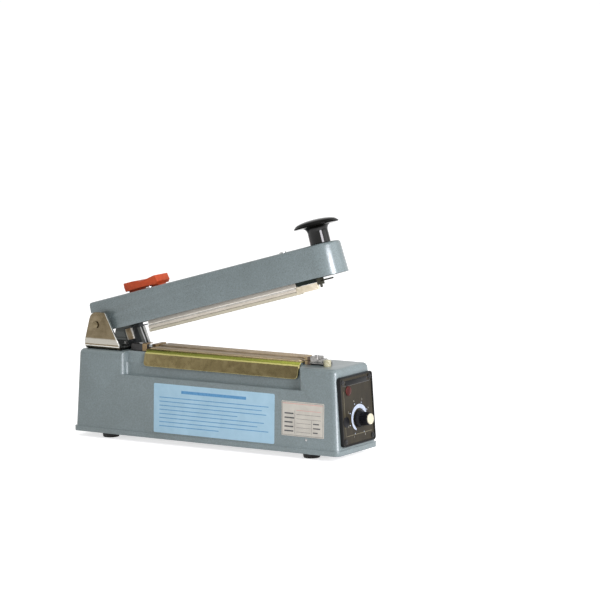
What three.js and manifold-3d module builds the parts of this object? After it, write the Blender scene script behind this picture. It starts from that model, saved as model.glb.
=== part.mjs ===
// Hand impulse bag sealer with a sliding film cutter, arm standing open on its return spring.
// Millimetres, +Z up. X runs along the sealer from the hinge to the control panel, Y from front to back.
// Z is zero under the feet, and X and Y are zero in the middle of the outline.

import * as THREE from 'three';
import { mergeVertices } from 'three/addons/utils/BufferGeometryUtils.js';
import Module from 'manifold-3d';

const wasm = await Module();
wasm.setup();

// Driving dimensions

const overrun = 2; // how far every cutter reaches past the face that it cuts
const seat = 0.3; // gap between pieces that sit on each other inside a turned group
const fit = 0.25; // gap round a pin or screw in its hole
const weld = 0.0001;

const foot = { height: 6, topRadius: 9, bottomRadius: 8.2, fromLeft: 36, fromRight: 42, fromSide: 16.4 };
foot.screw = { radius: 2, reach: 14, headRadius: 4, headHeight: 2.2, headDepth: 3.2 };

const body = { length: 324.6, width: 70.8, height: 83.8, wall: 3.5, cornerRadius: 5.5, edgeRadius: 5, draftDegrees: 3 };
body.skirt = { height: 5, proud: 1, lip: 3 };
body.bottom = foot.height;
body.top = body.bottom + body.height;

const recess = { leftTower: 61.6, rightTower: 48, armMargin: 2.4, drop: 22.8, mouthRadius: 5, cornerRadius: 3 };
recess.left = recess.leftTower;
recess.right = body.length - recess.rightTower;
recess.crown = { inset: 4, shoulderInset: 2.3, shoulderDrop: 1.9, height: 11 };
const basePlate = { thickness: 1.5, slots: 9, slotLength: 26, slotWidth: 3.2, slotPitch: 9 };
const boss = { radius: 5, depth: 16 };

const arm = { width: 40, height: 31.8, wall: 2.6, roof: 3, tail: 10.6, endInset: 3.7, draftDegrees: 3, openDegrees: 14.88 };
// How far the cheeks reach below the pin, and their cut-away round it
arm.hinge = { drop: 8.6, tailRise: 12.5, lugRadius: 7.6 };
arm.rounding = { edge: 3, tail: 4.2 };
arm.rib = { thickness: 2, height: 6, fromPin: 22, fromKnob: 24 };
recess.halfWidth = arm.width / 2 + recess.armMargin;

const bracket = { thickness: 2, height: 37.8, bendRadius: 5, sideGap: 4, left: 11.1, right: 54.5 };
bracket.taperLeft = 8.2;
bracket.taperRight = 16.2;
bracket.topLeft = bracket.left + bracket.taperLeft;
bracket.topRight = bracket.right - bracket.taperRight;
bracket.width = arm.width + 2 * (bracket.sideGap + bracket.thickness);
bracket.ear = { straight: 9, cornerRadius: 8, foreCorner: 1.5 };
bracket.screw = { radius: 2, fromLeft: 35.6, fromSide: 12 };

const pin = { radius: 2.5, fromLeft: 25.1, height: 24.9, headRadius: 3.6, headHeight: 1.2 };
pin.clip = { radius: 4.4, thickness: 1 };
arm.reach = body.length - pin.fromLeft - arm.endInset;

const bed = { leftGap: 22, rightGap: 5.5, thickness: 1.2, cornerRadius: 4 };
bed.left = recess.left + bed.leftGap;
bed.right = recess.right - bed.rightGap;
bed.flat = { inset: 5.3, rise: 3.3 };
bed.flat.halfWidth = recess.halfWidth - bed.flat.inset;
bed.fold = { inset: 0.6, drop: 1 };
bed.fold.halfWidth = recess.halfWidth - bed.fold.inset;
bed.edge = { overhang: 3.15, drop: 13.05 };
bed.edge.halfWidth = recess.halfWidth + bed.edge.overhang;

const groove = { front: -4.3, back: 0.9, left: 38.6, endMargin: 9.5 };
groove.right = bed.right - groove.endMargin;

bed.land = { inset: 1, margin: 3 };

const pad = { inset: 0.9, height: 0.6, rearHeight: 1.7, endGap: 3 };
const ribbon = { width: 2.6, thickness: 0.2, overhang: 5 };
const release = { thickness: 0.25, endGap: 5, margin: 0.3 };

const strip = { cheekGap: 0.9, gap: 0.35, height: 3.55, leftLap: 0.5, rightInset: 0.8, rear: 4.5 };
strip.width = arm.width / 2 - arm.wall - strip.cheekGap - strip.rear;
strip.left = bed.left - pin.fromLeft - strip.leftLap;
strip.right = bed.right - pin.fromLeft - strip.rightInset;
const bar = { height: 22.5, flange: 1.4, flangeHeight: 2.7, hangerRadius: 2.2, hangerInset: 8.6 };
bar.hangerHead = { radius: 3.5, height: 1 };
const endPlate = { length: 26, height: 6.6, thickness: 3, rise: 0.8 };
const endBlock = { fromBar: 1.5, length: 21, thickness: 9, inset: 0.9, gap: 0.4 };
const striker = { length: 4.5, height: 6.5, width: 6.2, radius: 1.3, rodRadius: 0.8, rodLength: 13 };

const leftTerminal = { length: 19.5, width: 10.5, height: 7.2, gap: 1.5, chamfer: 1.5, lap: 4.5, fromGroove: 1.85 };
leftTerminal.screw = { radius: 2.6, height: 1.4 };
const rightTerminal = { blockLength: 6, blockWidth: 8.7, blockHeight: 7.7, holeRadius: 1.6, gap: 0.8, shift: 2.3 };
rightTerminal.plate = { length: 15.4, width: 16, thickness: 1.3, lift: 1.2, legLength: 3 };
rightTerminal.clamp = { length: 9, width: 10.7, height: 6, stepLength: 4.5, stepHeight: 3.5 };
rightTerminal.screw = { radius: 2, height: 1.1 };

const plunger = { radius: 3.75, rise: 6.4, fromRight: 26.5, fromSealLine: 1.4, travel: 3, crown: 0.8, stem: 1.5 };
plunger.fromCentre = -strip.rear - strip.width / 2 - plunger.fromSealLine;
const microswitch = { length: 18, width: 6.4, height: 15, ahead: 5.5, lugWidth: 1.5, tabLength: 5, tabThickness: 0.8 };

const slider = { length: 41.6, width: 21.5, left: 35.2, lift: 1.6, height: 9.3, saddleDrop: 2.3, archRise: 0.9 };
slider.topRadius = 1.5;
slider.soleInset = 4.6;
slider.crest = slider.length * 0.28;
slider.valley = slider.length * 0.56;
slider.sweep = slider.length * 0.13;
slider.endClearance = 3.8;
const neck = { length: 12, left: 36, width: 4.4, slotWidth: 5, slotGap: 0.5 };
const carriage = { plateLeft: 15, plateRight: 40.5, plateFront: -2.4, plateThickness: 1.5, drop: 33, skew: 2.3 };
carriage.shoe = { length: 24, front: -6.5, back: 8, height: 7, clearance: 0.4 };
carriage.flange = { length: 26, width: 7, thickness: 1.2, drop: 11 };
const blade = { width: 10, reach: 5.5, thickness: 0.6, top: 12.6, bottom: 31, slant: 2.6, edge: 1.4 };
const clamp = { length: 8.6, height: 11.5, thickness: 1.5, left: 18.4, top: 11.2, screwRadius: 1.7, screwHeight: 0.4 };

const mushroom = { fromTip: 20.8, stemRadius: 10.2, capRadius: 22.3, rimHeight: 17.6, rimThickness: 1.2, crown: 6.6 };
mushroom.underFillet = 5.5;
mushroom.fromPin = arm.reach - mushroom.fromTip;
slider.travel = mushroom.fromPin - mushroom.stemRadius - slider.left - slider.length - slider.endClearance;
mushroom.screw = { radius: 2.5, depth: 14 };

const panel = { sideMargin: 6.9, topMargin: 7.8, bottomMargin: 8, thickness: 2.5, cornerRadius: 3.5, rim: 1.6, rimRise: 0.8 };
panel.width = body.width - 2 * panel.sideMargin;
panel.height = body.height - panel.topMargin - panel.bottomMargin;
panel.middle = body.bottom + panel.bottomMargin + panel.height / 2;
panel.band = { height: 4.6, rise: 0.5 };
panel.window = { sideMargin: 7.5, endMargin: 9 };
panel.screw = { inset: 5, radius: 1.5, headRadius: 2.7, headHeight: 0.9, length: 7 };
const dial = { fromCentre: 1.5, fromFoot: 24.4, skirtRadius: 8.3, skirtHeight: 3, bodyRadius: 6.8, height: 12.8 };
dial.fluteDepth = 0.5;
dial.lift = 0.6;
dial.fromMiddle = dial.fromFoot - panel.height / 2;
dial.flutes = 18;
dial.cap = { radius: 5.3, recess: 0.6, thickness: 1.4 };
const pot = { radius: 8.5, depth: 9, shaftRadius: 3, bushRadius: 4.4, nutRadius: 6, nutHeight: 2, shaftReach: 7 };
const lamp = { fromSide: 14.5, fromHead: 14.3, radius: 4.8, barrelRadius: 4, rise: 1.8, depth: 9 };
lamp.fromMiddle = panel.height / 2 - lamp.fromHead;
lamp.fromCentre = lamp.fromSide - panel.width / 2;
const board = { sideMargin: 4.5, footMargin: 3, headMargin: 25, thickness: 1.6, standOff: 14, relayDepth: 8 };
board.can = { depth: 9, radius: 5 };

const transformer = { length: 62, coreMargin: 10.4, coilMargin: 8.4, headroom: 23.8, centre: 132.6, windowShare: 0.56 };
transformer.width = body.width - 2 * transformer.coreMargin;
transformer.coilWidth = body.width - 2 * transformer.coilMargin;
transformer.height = body.height - basePlate.thickness - transformer.headroom - body.wall - recess.cornerRadius;
const bush = { radius: 7.5, innerRadius: 3.6, lip: 1.8, flange: 1.2, depth: 5, fromLeft: 44.6, rise: 18 };

const coil = { wireRadius: 0.8, meanRadius: 5.2, pitch: 2.4, start: 3, sideGap: 2.3, toeLength: 4, climbDegrees: 45 };
coil.turns = Math.floor((arm.width / 2 - arm.wall - coil.sideGap - coil.start) / coil.pitch);
coil.stepsPerTurn = 8;
coil.wireSides = 5;

// Shape helpers

const radians = THREE.MathUtils.degToRad;
const draftSlope = Math.tan(radians(body.draftDegrees));
const arcSteps = 5;
const roundSides = 28;
const smallSides = 20;

function toSolid(geometry) {
  const plain = geometry.index ? geometry.toNonIndexed() : geometry.clone();
  plain.deleteAttribute('normal');
  plain.deleteAttribute('uv');
  const merged = mergeVertices(plain, weld);
  const vertProperties = Float32Array.from(merged.attributes.position.array);
  const triVerts = Uint32Array.from(merged.index.array);
  return new wasm.Manifold(new wasm.Mesh({ numProp: 3, vertProperties, triVerts }));
}

function toGeometry(solid) {
  const mesh = solid.getMesh();
  const geometry = new THREE.BufferGeometry();
  geometry.setAttribute('position', new THREE.BufferAttribute(mesh.vertProperties, 3));
  geometry.setIndex(new THREE.BufferAttribute(mesh.triVerts, 1));
  geometry.computeVertexNormals();
  return geometry;
}

function box(x0, x1, y0, y1, z0, z1) {
  const geometry = new THREE.BoxGeometry(x1 - x0, y1 - y0, z1 - z0);
  geometry.translate((x0 + x1) / 2, (y0 + y1) / 2, (z0 + z1) / 2);
  return toSolid(geometry);
}

// A round bar standing along Z, with its own radius at the bottom and at the top
function post(x, y, z0, z1, bottomRadius, topRadius = bottomRadius, sides = smallSides) {
  const geometry = new THREE.CylinderGeometry(topRadius, bottomRadius, z1 - z0, sides);
  geometry.rotateX(Math.PI / 2);
  geometry.translate(x, y, (z0 + z1) / 2);
  return toSolid(geometry);
}

// A round bar lying along Y
function crossBar(x, z, y0, y1, radius, sides = smallSides) {
  const geometry = new THREE.CylinderGeometry(radius, radius, y1 - y0, sides);
  geometry.translate(x, (y0 + y1) / 2, z);
  return toSolid(geometry);
}

// A round bar lying along X
function longBar(y, z, x0, x1, radius, sides = smallSides) {
  const geometry = new THREE.CylinderGeometry(radius, radius, x1 - x0, sides);
  geometry.rotateZ(-Math.PI / 2);
  geometry.translate((x0 + x1) / 2, y, z);
  return toSolid(geometry);
}

const curveSegments = 6;

function extruded(shape, depth) {
  return new THREE.ExtrudeGeometry(shape, { depth, bevelEnabled: false, curveSegments });
}

// An outline drawn in X and Z, from y0 to y1
function alongY(shape, y0, y1) {
  const geometry = extruded(shape, y1 - y0);
  geometry.rotateX(Math.PI / 2);
  geometry.translate(0, y1, 0);
  return toSolid(geometry);
}

// An outline drawn in Y and Z, from x0 to x1
function alongX(shape, x0, x1) {
  const geometry = extruded(shape, x1 - x0);
  const turn = new THREE.Matrix4();
  turn.makeBasis(new THREE.Vector3(0, 1, 0), new THREE.Vector3(0, 0, 1), new THREE.Vector3(1, 0, 0));
  geometry.applyMatrix4(turn);
  geometry.translate(x0, 0, 0);
  return toSolid(geometry);
}

// An outline drawn in X and Y, from z0 to z1
function alongZ(shape, z0, z1) {
  const geometry = extruded(shape, z1 - z0);
  geometry.translate(0, 0, z0);
  return toSolid(geometry);
}

// A profile of radius and height, turned round Z
function turned(profile, sides = roundSides) {
  const geometry = new THREE.LatheGeometry(profile.map(([r, h]) => new THREE.Vector2(r, h)), sides);
  geometry.rotateX(Math.PI / 2);
  return toSolid(geometry);
}

function polygon(points) {
  return new THREE.Shape(points.map(([u, v]) => new THREE.Vector2(u, v)));
}

function roundedRectangle(u0, u1, v0, v1, radius) {
  const shape = new THREE.Shape();
  shape.moveTo(u0 + radius, v0);
  shape.lineTo(u1 - radius, v0);
  shape.absarc(u1 - radius, v0 + radius, radius, -Math.PI / 2, 0);
  shape.lineTo(u1, v1 - radius);
  shape.absarc(u1 - radius, v1 - radius, radius, 0, Math.PI / 2);
  shape.lineTo(u0 + radius, v1);
  shape.absarc(u0 + radius, v1 - radius, radius, Math.PI / 2, Math.PI);
  shape.lineTo(u0, v0 + radius);
  shape.absarc(u0 + radius, v0 + radius, radius, Math.PI, Math.PI * 1.5);
  return shape;
}

// One level ring of a loft: a rectangle with its own corner radius at the left and at the right end
function ring(x0, x1, halfWidth, leftRadius, rightRadius, z) {
  const corners = [
    [x1 - rightRadius, -halfWidth + rightRadius, rightRadius, -1],
    [x1 - rightRadius, halfWidth - rightRadius, rightRadius, 0],
    [x0 + leftRadius, halfWidth - leftRadius, leftRadius, 1],
    [x0 + leftRadius, -halfWidth + leftRadius, leftRadius, 2],
  ];
  const points = [];
  for (const [x, y, radius, quarter] of corners) {
    for (let step = 0; step <= arcSteps; step += 1) {
      const angle = (quarter + step / arcSteps) * (Math.PI / 2);
      points.push([x + radius * Math.cos(angle), y + radius * Math.sin(angle), z]);
    }
  }
  return points;
}

// A closed solid through rings of equal count, from the lowest to the highest
function loft(rings) {
  const count = rings[0].length;
  const positions = rings.flat(2);
  const index = [];
  for (let level = 0; level < rings.length - 1; level += 1) {
    for (let i = 0; i < count; i += 1) {
      const next = (i + 1) % count;
      const low = level * count;
      const high = low + count;
      index.push(low + i, low + next, high + next, low + i, high + next, high + i);
    }
  }
  const top = (rings.length - 1) * count;
  for (let i = 1; i < count - 1; i += 1) {
    index.push(0, i + 1, i);
    index.push(top, top + i, top + i + 1);
  }
  const geometry = new THREE.BufferGeometry();
  geometry.setAttribute('position', new THREE.Float32BufferAttribute(positions, 3));
  geometry.setIndex(index);
  return toSolid(geometry);
}

// Materials

function finish(color, roughness, metalness) {
  return new THREE.MeshStandardMaterial({ color, roughness, metalness });
}

const finishes = {
  hammertone: () => finish(0x7f8b8e, 0.42, 0.35),
  zincYellow: () => finish(0x9a8440, 0.32, 0.85),
  nickel: () => finish(0xb4ada0, 0.22, 0.95),
  steel: () => finish(0xc4c6c8, 0.3, 0.9),
  aluminium: () => finish(0xcdc3bb, 0.4, 0.8),
  blackPlastic: () => finish(0x1b1c1d, 0.45, 0),
  rubber: () => finish(0x161616, 0.85, 0),
  redPlastic: () => finish(0xc23a1d, 0.5, 0),
  ivoryPlastic: () => finish(0xf0ead0, 0.4, 0),
  beigeCloth: () => finish(0xa8977f, 0.7, 0),
  silicone: () => finish(0xb3aa8d, 0.6, 0),
  phenolic: () => finish(0xb59a74, 0.6, 0),
  brass: () => finish(0x8a6a3c, 0.35, 0.85),
  clearPlastic: () => finish(0xbdbb9c, 0.3, 0),
  redLens: () => finish(0x8e2b25, 0.25, 0),
  greenBoard: () => finish(0x2f5a3a, 0.6, 0),
  ironCore: () => finish(0x4c4a47, 0.55, 0.6),
  copperWinding: () => finish(0x9c5a2c, 0.45, 0.5),
};

// The casing, whose long sides step back above a ledge between two end towers

const leftEnd = -body.length / 2;
const fromLeft = (distance) => leftEnd + distance;
const floorTop = body.bottom + basePlate.thickness;
const wallInset = (z) => body.skirt.proud + (z - body.bottom) * draftSlope;
const ledgeHeight = body.top - recess.drop;

function casingRing(inset, radius, z) {
  const half = body.length / 2 - inset;
  return ring(-half, half, body.width / 2 - inset, radius, radius, z);
}

function casingOutside() {
  const skirtTop = body.bottom + body.skirt.height;
  const shoulder = body.top - body.edgeRadius;
  const rings = [
    casingRing(0, body.cornerRadius, body.bottom),
    casingRing(0, body.cornerRadius, skirtTop),
    casingRing(wallInset(skirtTop), body.cornerRadius, skirtTop),
  ];
  for (let step = 0; step <= arcSteps; step += 1) {
    const angle = (step / arcSteps) * (Math.PI / 2);
    const rounding = body.edgeRadius * (1 - Math.cos(angle));
    const radius = body.cornerRadius - rounding;
    rings.push(casingRing(wallInset(shoulder) + rounding, radius, shoulder + body.edgeRadius * Math.sin(angle)));
  }
  return loft(rings);
}

function casingInside() {
  const lid = body.top - body.wall;
  const shelf = body.bottom + basePlate.thickness;
  const underLedge = ledgeHeight - body.wall;
  const insideRadius = body.cornerRadius - body.wall;
  const mouth = loft([
    casingRing(body.skirt.lip, body.cornerRadius - body.skirt.lip, body.bottom - overrun),
    casingRing(body.skirt.lip, body.cornerRadius - body.skirt.lip, shelf),
  ]);
  const lower = loft([
    casingRing(wallInset(body.bottom) + body.wall, insideRadius, body.bottom - overrun),
    casingRing(wallInset(underLedge) + body.wall, insideRadius, underLedge),
  ]);
  const endInset = wallInset(body.top) + body.wall;
  const half = body.length / 2 - endInset;
  const narrow = recess.halfWidth - body.wall - recess.crown.shoulderInset;
  const wide = body.width / 2 - endInset;
  const below = underLedge - overrun;
  const middle = box(-half, half, -narrow, narrow, below, lid);
  const leftTower = box(-half, fromLeft(recess.left) - body.wall, -wide, wide, below, lid);
  const rightTower = box(fromLeft(recess.right) + body.wall, half, -wide, wide, below, lid);
  return mouth.add(lower).add(middle).add(leftTower).add(rightTower);
}

// The front step: its mouth is rounded where it meets the towers. The rear one is its mirror image.
function recessCutter() {
  const x0 = fromLeft(recess.left);
  const x1 = fromLeft(recess.right);
  const y0 = -recess.halfWidth;
  const outside = -body.width / 2 - overrun;
  const face = -body.width / 2 + wallInset(ledgeHeight);
  const mouth = recess.mouthRadius;
  const corner = recess.cornerRadius;
  const shape = new THREE.Shape();
  shape.moveTo(x0 - mouth, outside);
  shape.lineTo(x1 + mouth, outside);
  shape.lineTo(x1 + mouth, face);
  shape.absarc(x1 + mouth, face + mouth, mouth, -Math.PI / 2, -Math.PI, true);
  shape.lineTo(x1, y0 - corner);
  shape.absarc(x1 - corner, y0 - corner, corner, 0, Math.PI / 2);
  shape.lineTo(x0 + corner, y0);
  shape.absarc(x0 + corner, y0 - corner, corner, Math.PI / 2, Math.PI);
  shape.lineTo(x0, face + mouth);
  shape.absarc(x0 - mouth, face + mouth, mouth, 0, -Math.PI / 2, true);
  return alongZ(shape, ledgeHeight, body.top + overrun);
}

// The upper edge of the middle part leans in, to clear the inside of the folded bed plate
function crownCutter() {
  const { inset, shoulderInset, shoulderDrop, height } = recess.crown;
  const y = -recess.halfWidth;
  const section = polygon([
    [y - overrun, body.top - height], [y, body.top - height], [y + shoulderInset, body.top - shoulderDrop],
    [y + inset, body.top], [y + inset, body.top + overrun], [y - overrun, body.top + overrun],
  ]);
  return alongX(section, fromLeft(recess.left), fromLeft(recess.right));
}

// The land that the bed plate lies on
function bedLand() {
  const half = bed.flat.halfWidth - bed.land.inset;
  const top = body.top + bed.flat.rise - bed.thickness;
  const { margin } = bed.land;
  return box(fromLeft(bed.left) + margin, fromLeft(bed.right) - margin, -half, half, body.top - body.wall / 2, top);
}

const footPlaces = [];
for (const [name, x, y] of [
  ['front_left', fromLeft(foot.fromLeft), -1],
  ['front_right', -leftEnd - foot.fromRight, -1],
  ['rear_left', fromLeft(foot.fromLeft), 1],
  ['rear_right', -leftEnd - foot.fromRight, 1],
]) {
  footPlaces.push({ name, x, y: y * (body.width / 2 - foot.fromSide) });
}

const plungerPlace = { x: -leftEnd - plunger.fromRight, y: plunger.fromCentre };
const bracketScrewPlaces = [
  { name: 'front', x: fromLeft(bracket.screw.fromLeft), y: bracket.screw.fromSide - bracket.width / 2 },
  { name: 'rear', x: fromLeft(bracket.screw.fromLeft), y: bracket.width / 2 - bracket.screw.fromSide },
];

function bodyCasting() {
  const front = recessCutter();
  const crown = crownCutter();
  let solid = casingOutside().subtract(front).subtract(front.mirror([0, 1, 0]));
  solid = solid.subtract(crown).subtract(crown.mirror([0, 1, 0])).subtract(casingInside()).add(bedLand());
  const bossTop = body.bottom + basePlate.thickness + boss.depth;
  const lid = body.top - body.wall / 2;
  const shelf = body.bottom + basePlate.thickness;
  for (const { x, y } of footPlaces) {
    solid = solid.add(post(x, y, shelf, lid, boss.radius));
  }
  for (const { x, y } of footPlaces) {
    solid = solid.subtract(post(x, y, body.bottom, bossTop, foot.screw.radius + fit));
  }
  const slot = box(
    fromLeft(groove.left), fromLeft(groove.right), groove.front, groove.back,
    body.top - body.wall - overrun, body.top + bed.flat.rise + overrun,
  );
  solid = solid.subtract(slot);
  const buttonHole = post(
    plungerPlace.x, plungerPlace.y, body.top - body.wall - overrun, body.top + overrun, plunger.radius + fit,
  );
  solid = solid.subtract(buttonHole);
  for (const { x, y } of bracketScrewPlaces) {
    solid = solid.subtract(post(x, y, body.top - body.wall * 2 - overrun, body.top + overrun, bracket.screw.radius + fit));
  }
  return toGeometry(solid.subtract(panelWindow()).subtract(bushHole()));
}

function basePlateShape() {
  const inset = body.skirt.lip + seat;
  const radius = body.cornerRadius - inset;
  const outline = casingRing(inset, radius, body.bottom);
  const upper = casingRing(inset, radius, body.bottom + basePlate.thickness);
  let solid = loft([outline, upper]);
  for (const { x, y } of footPlaces) {
    solid = solid.subtract(post(x, y, body.bottom - overrun, body.bottom + overrun * 2, foot.screw.radius + fit));
  }
  for (let i = 0; i < basePlate.slots; i += 1) {
    const x = (i - (basePlate.slots - 1) / 2) * basePlate.slotPitch;
    const halfSlot = basePlate.slotWidth / 2;
    const reach = basePlate.slotLength / 2;
    solid = solid.subtract(box(x - halfSlot, x + halfSlot, -reach, reach, body.bottom - overrun, floorTop + overrun));
  }
  return toGeometry(solid);
}

function rubberFoot(x, y) {
  const solid = post(x, y, 0, foot.height, foot.bottomRadius, foot.topRadius, roundSides);
  const head = post(x, y, -overrun, foot.screw.headDepth, foot.screw.headRadius + fit * 2);
  const hole = post(x, y, -overrun, foot.height + overrun, foot.screw.radius + fit);
  return toGeometry(solid.subtract(head).subtract(hole));
}

function footScrew(x, y) {
  const under = foot.screw.headDepth;
  const head = post(x, y, under - foot.screw.headHeight, under, foot.screw.headRadius);
  const shank = post(x, y, under - foot.screw.headHeight / 2, foot.height + foot.screw.reach, foot.screw.radius);
  return toGeometry(head.add(shank));
}

// The hinge: a folded bracket on the left tower, a pin through its ears and a torsion spring on the pin

const hinge = { x: fromLeft(pin.fromLeft), z: body.top + pin.height };
const armTop = arm.height - arm.hinge.drop;
const armRoof = armTop - arm.roof;

function hingeBracket() {
  const half = bracket.width / 2;
  const t = bracket.thickness;
  const outer = bracket.bendRadius;
  const inner = outer - t;
  const z0 = body.top;
  const z1 = body.top + bracket.height;
  const section = new THREE.Shape();
  section.moveTo(-half + outer, z0);
  section.lineTo(half - outer, z0);
  section.absarc(half - outer, z0 + outer, outer, -Math.PI / 2, 0);
  section.lineTo(half, z1);
  section.lineTo(half - t, z1);
  section.lineTo(half - t, z0 + outer);
  section.absarc(half - outer, z0 + outer, inner, 0, -Math.PI / 2, true);
  section.lineTo(-half + outer, z0 + t);
  section.absarc(-half + outer, z0 + outer, inner, -Math.PI / 2, -Math.PI, true);
  section.lineTo(-half + t, z1);
  section.lineTo(-half, z1);
  section.lineTo(-half, z0 + outer);
  section.absarc(-half + outer, z0 + outer, outer, Math.PI, Math.PI * 1.5);
  const x0 = fromLeft(bracket.left);
  const x1 = fromLeft(bracket.right);
  const topLeft = fromLeft(bracket.topLeft);
  const topRight = fromLeft(bracket.topRight);
  const straight = z0 + bracket.ear.straight;
  const corner = bracket.ear.cornerRadius;
  const side = new THREE.Shape();
  side.moveTo(x0, z0 - overrun);
  side.lineTo(x1, z0 - overrun);
  side.lineTo(x1, z0 + bracket.bendRadius);
  side.lineTo(topRight, z1 - bracket.ear.foreCorner);
  side.lineTo(topRight - bracket.ear.foreCorner, z1);
  side.lineTo(topLeft + corner, z1);
  side.quadraticCurveTo(topLeft, z1, topLeft - corner / 4, z1 - corner);
  side.lineTo(x0, straight);
  let solid = alongX(section, x0, x1).intersect(alongY(side, -half - overrun, half + overrun));
  solid = solid.subtract(crossBar(hinge.x, hinge.z, -half - overrun, half + overrun, pin.radius + fit));
  const notch = box(fromLeft(groove.left), x1 + overrun, groove.front, groove.back, z0 - overrun, z0 + t + overrun);
  solid = solid.subtract(notch);
  for (const { x, y } of bracketScrewPlaces) {
    solid = solid.subtract(post(x, y, z0 - overrun, z0 + t + overrun, bracket.screw.radius + fit));
  }
  return toGeometry(solid);
}

function bracketScrew(x, y) {
  const under = body.top + bracket.thickness;
  const head = post(x, y, under, under + bracket.screw.radius, bracket.screw.radius * 2, bracket.screw.radius * 1.6);
  const shank = post(x, y, body.top - body.wall * 2, under + bracket.screw.radius / 2, bracket.screw.radius);
  return toGeometry(head.add(shank));
}

function hingePin() {
  const half = bracket.width / 2;
  const shaft = crossBar(hinge.x, hinge.z, -half - pin.headHeight, half + pin.clip.thickness * 2, pin.radius);
  const head = crossBar(hinge.x, hinge.z, -half - fit - pin.headHeight, -half - fit, pin.headRadius);
  return toGeometry(shaft.add(head));
}

function pinClip() {
  const inside = bracket.width / 2 + fit;
  const outside = inside + pin.clip.thickness;
  const disc = crossBar(hinge.x, hinge.z, inside, outside, pin.clip.radius);
  const hole = crossBar(hinge.x, hinge.z, inside - overrun, outside + overrun, pin.radius + fit / 2);
  const gap = box(
    hinge.x - pin.radius, hinge.x + pin.radius, inside - overrun, outside + overrun, hinge.z - pin.clip.radius * 2, hinge.z,
  );
  return toGeometry(disc.subtract(hole).subtract(gap));
}

// The torsion spring: a helix round the pin, one leg down to the bracket and one up to the arm's roof
function springPoints() {
  const points = [];
  const tilt = radians(arm.openDegrees);
  const climb = tilt + radians(coil.climbDegrees);
  const startAngle = Math.PI;
  const sweep = Math.PI / 2 - climb + coil.turns * 2 * Math.PI;
  const steps = Math.round((sweep / (2 * Math.PI)) * coil.stepsPerTurn);
  const lowEnd = body.top + bracket.thickness + seat;
  points.push(new THREE.Vector3(hinge.x - coil.meanRadius, coil.start, lowEnd));
  points.push(new THREE.Vector3(hinge.x - coil.meanRadius, coil.start, (lowEnd + hinge.z) / 2));
  for (let i = 0; i <= steps; i += 1) {
    const share = i / steps;
    const angle = startAngle - sweep * share;
    const x = hinge.x + coil.meanRadius * Math.cos(angle);
    const z = hinge.z + coil.meanRadius * Math.sin(angle);
    points.push(new THREE.Vector3(x, coil.start + coil.pitch * coil.turns * share, z));
  }
  const last = points[points.length - 1];
  const riseLeft = armRoof - coil.wireRadius - seat - coil.meanRadius * Math.cos(radians(coil.climbDegrees));
  const legLength = riseLeft / Math.sin(radians(coil.climbDegrees));
  const up = new THREE.Vector3(Math.cos(climb), 0, Math.sin(climb));
  const along = new THREE.Vector3(Math.cos(tilt), 0, Math.sin(tilt));
  const knee = last.clone().addScaledVector(up, legLength);
  points.push(last.clone().addScaledVector(up, legLength / 2));
  points.push(knee);
  points.push(knee.clone().addScaledVector(along, coil.toeLength));
  return points;
}

// A tube of flat sides swept through points, with a frame that keeps the coil's axis as its reference
function sweptTube(points, radius, sides) {
  const axis = new THREE.Vector3(0, 1, 0);
  const positions = [];
  points.forEach((point, i) => {
    const before = points[Math.max(i - 1, 0)];
    const after = points[Math.min(i + 1, points.length - 1)];
    const tangent = after.clone().sub(before).normalize();
    const across = axis.clone().cross(tangent).normalize();
    const up = tangent.clone().cross(across);
    for (let k = 0; k < sides; k += 1) {
      const angle = (k / sides) * 2 * Math.PI;
      const place = point.clone();
      place.addScaledVector(across, radius * Math.cos(angle));
      place.addScaledVector(up, radius * Math.sin(angle));
      positions.push([place.x, place.y, place.z]);
    }
  });
  const rings = [];
  for (let i = 0; i < points.length; i += 1) {
    rings.push(positions.slice(i * sides, (i + 1) * sides));
  }
  return loft(rings);
}

// The least gap of the wire to itself, between points that are at least half a turn apart along it
function leastSelfGap(points, radius) {
  const apart = Math.ceil(coil.stepsPerTurn / 2);
  let least = Infinity;
  for (let i = 0; i < points.length; i += 1) {
    for (let k = i + apart; k < points.length; k += 1) {
      least = Math.min(least, points[i].distanceTo(points[k]) - 2 * radius);
    }
  }
  return least;
}

function armSpring() {
  const points = springPoints();
  console.log(`arm_spring least gap to itself: ${leastSelfGap(points, coil.wireRadius).toFixed(2)} mm`);
  return toGeometry(sweptTube(points, coil.wireRadius, coil.wireSides));
}

// The sealing bed: a folded plate astride the casing, pads, heating ribbon and release cloth

function bedSection(shrink) {
  const flat = { y: bed.flat.halfWidth - shrink * 0.4, z: body.top + bed.flat.rise - shrink };
  const fold = { y: bed.fold.halfWidth - shrink, z: body.top - bed.fold.drop - shrink * 0.4 };
  const edge = { y: bed.edge.halfWidth - shrink, z: body.top - bed.edge.drop - (shrink > 0 ? overrun : 0) };
  return polygon([
    [-edge.y, edge.z], [edge.y, edge.z], [fold.y, fold.z], [flat.y, flat.z],
    [-flat.y, flat.z], [-fold.y, fold.z],
  ]);
}

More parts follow.
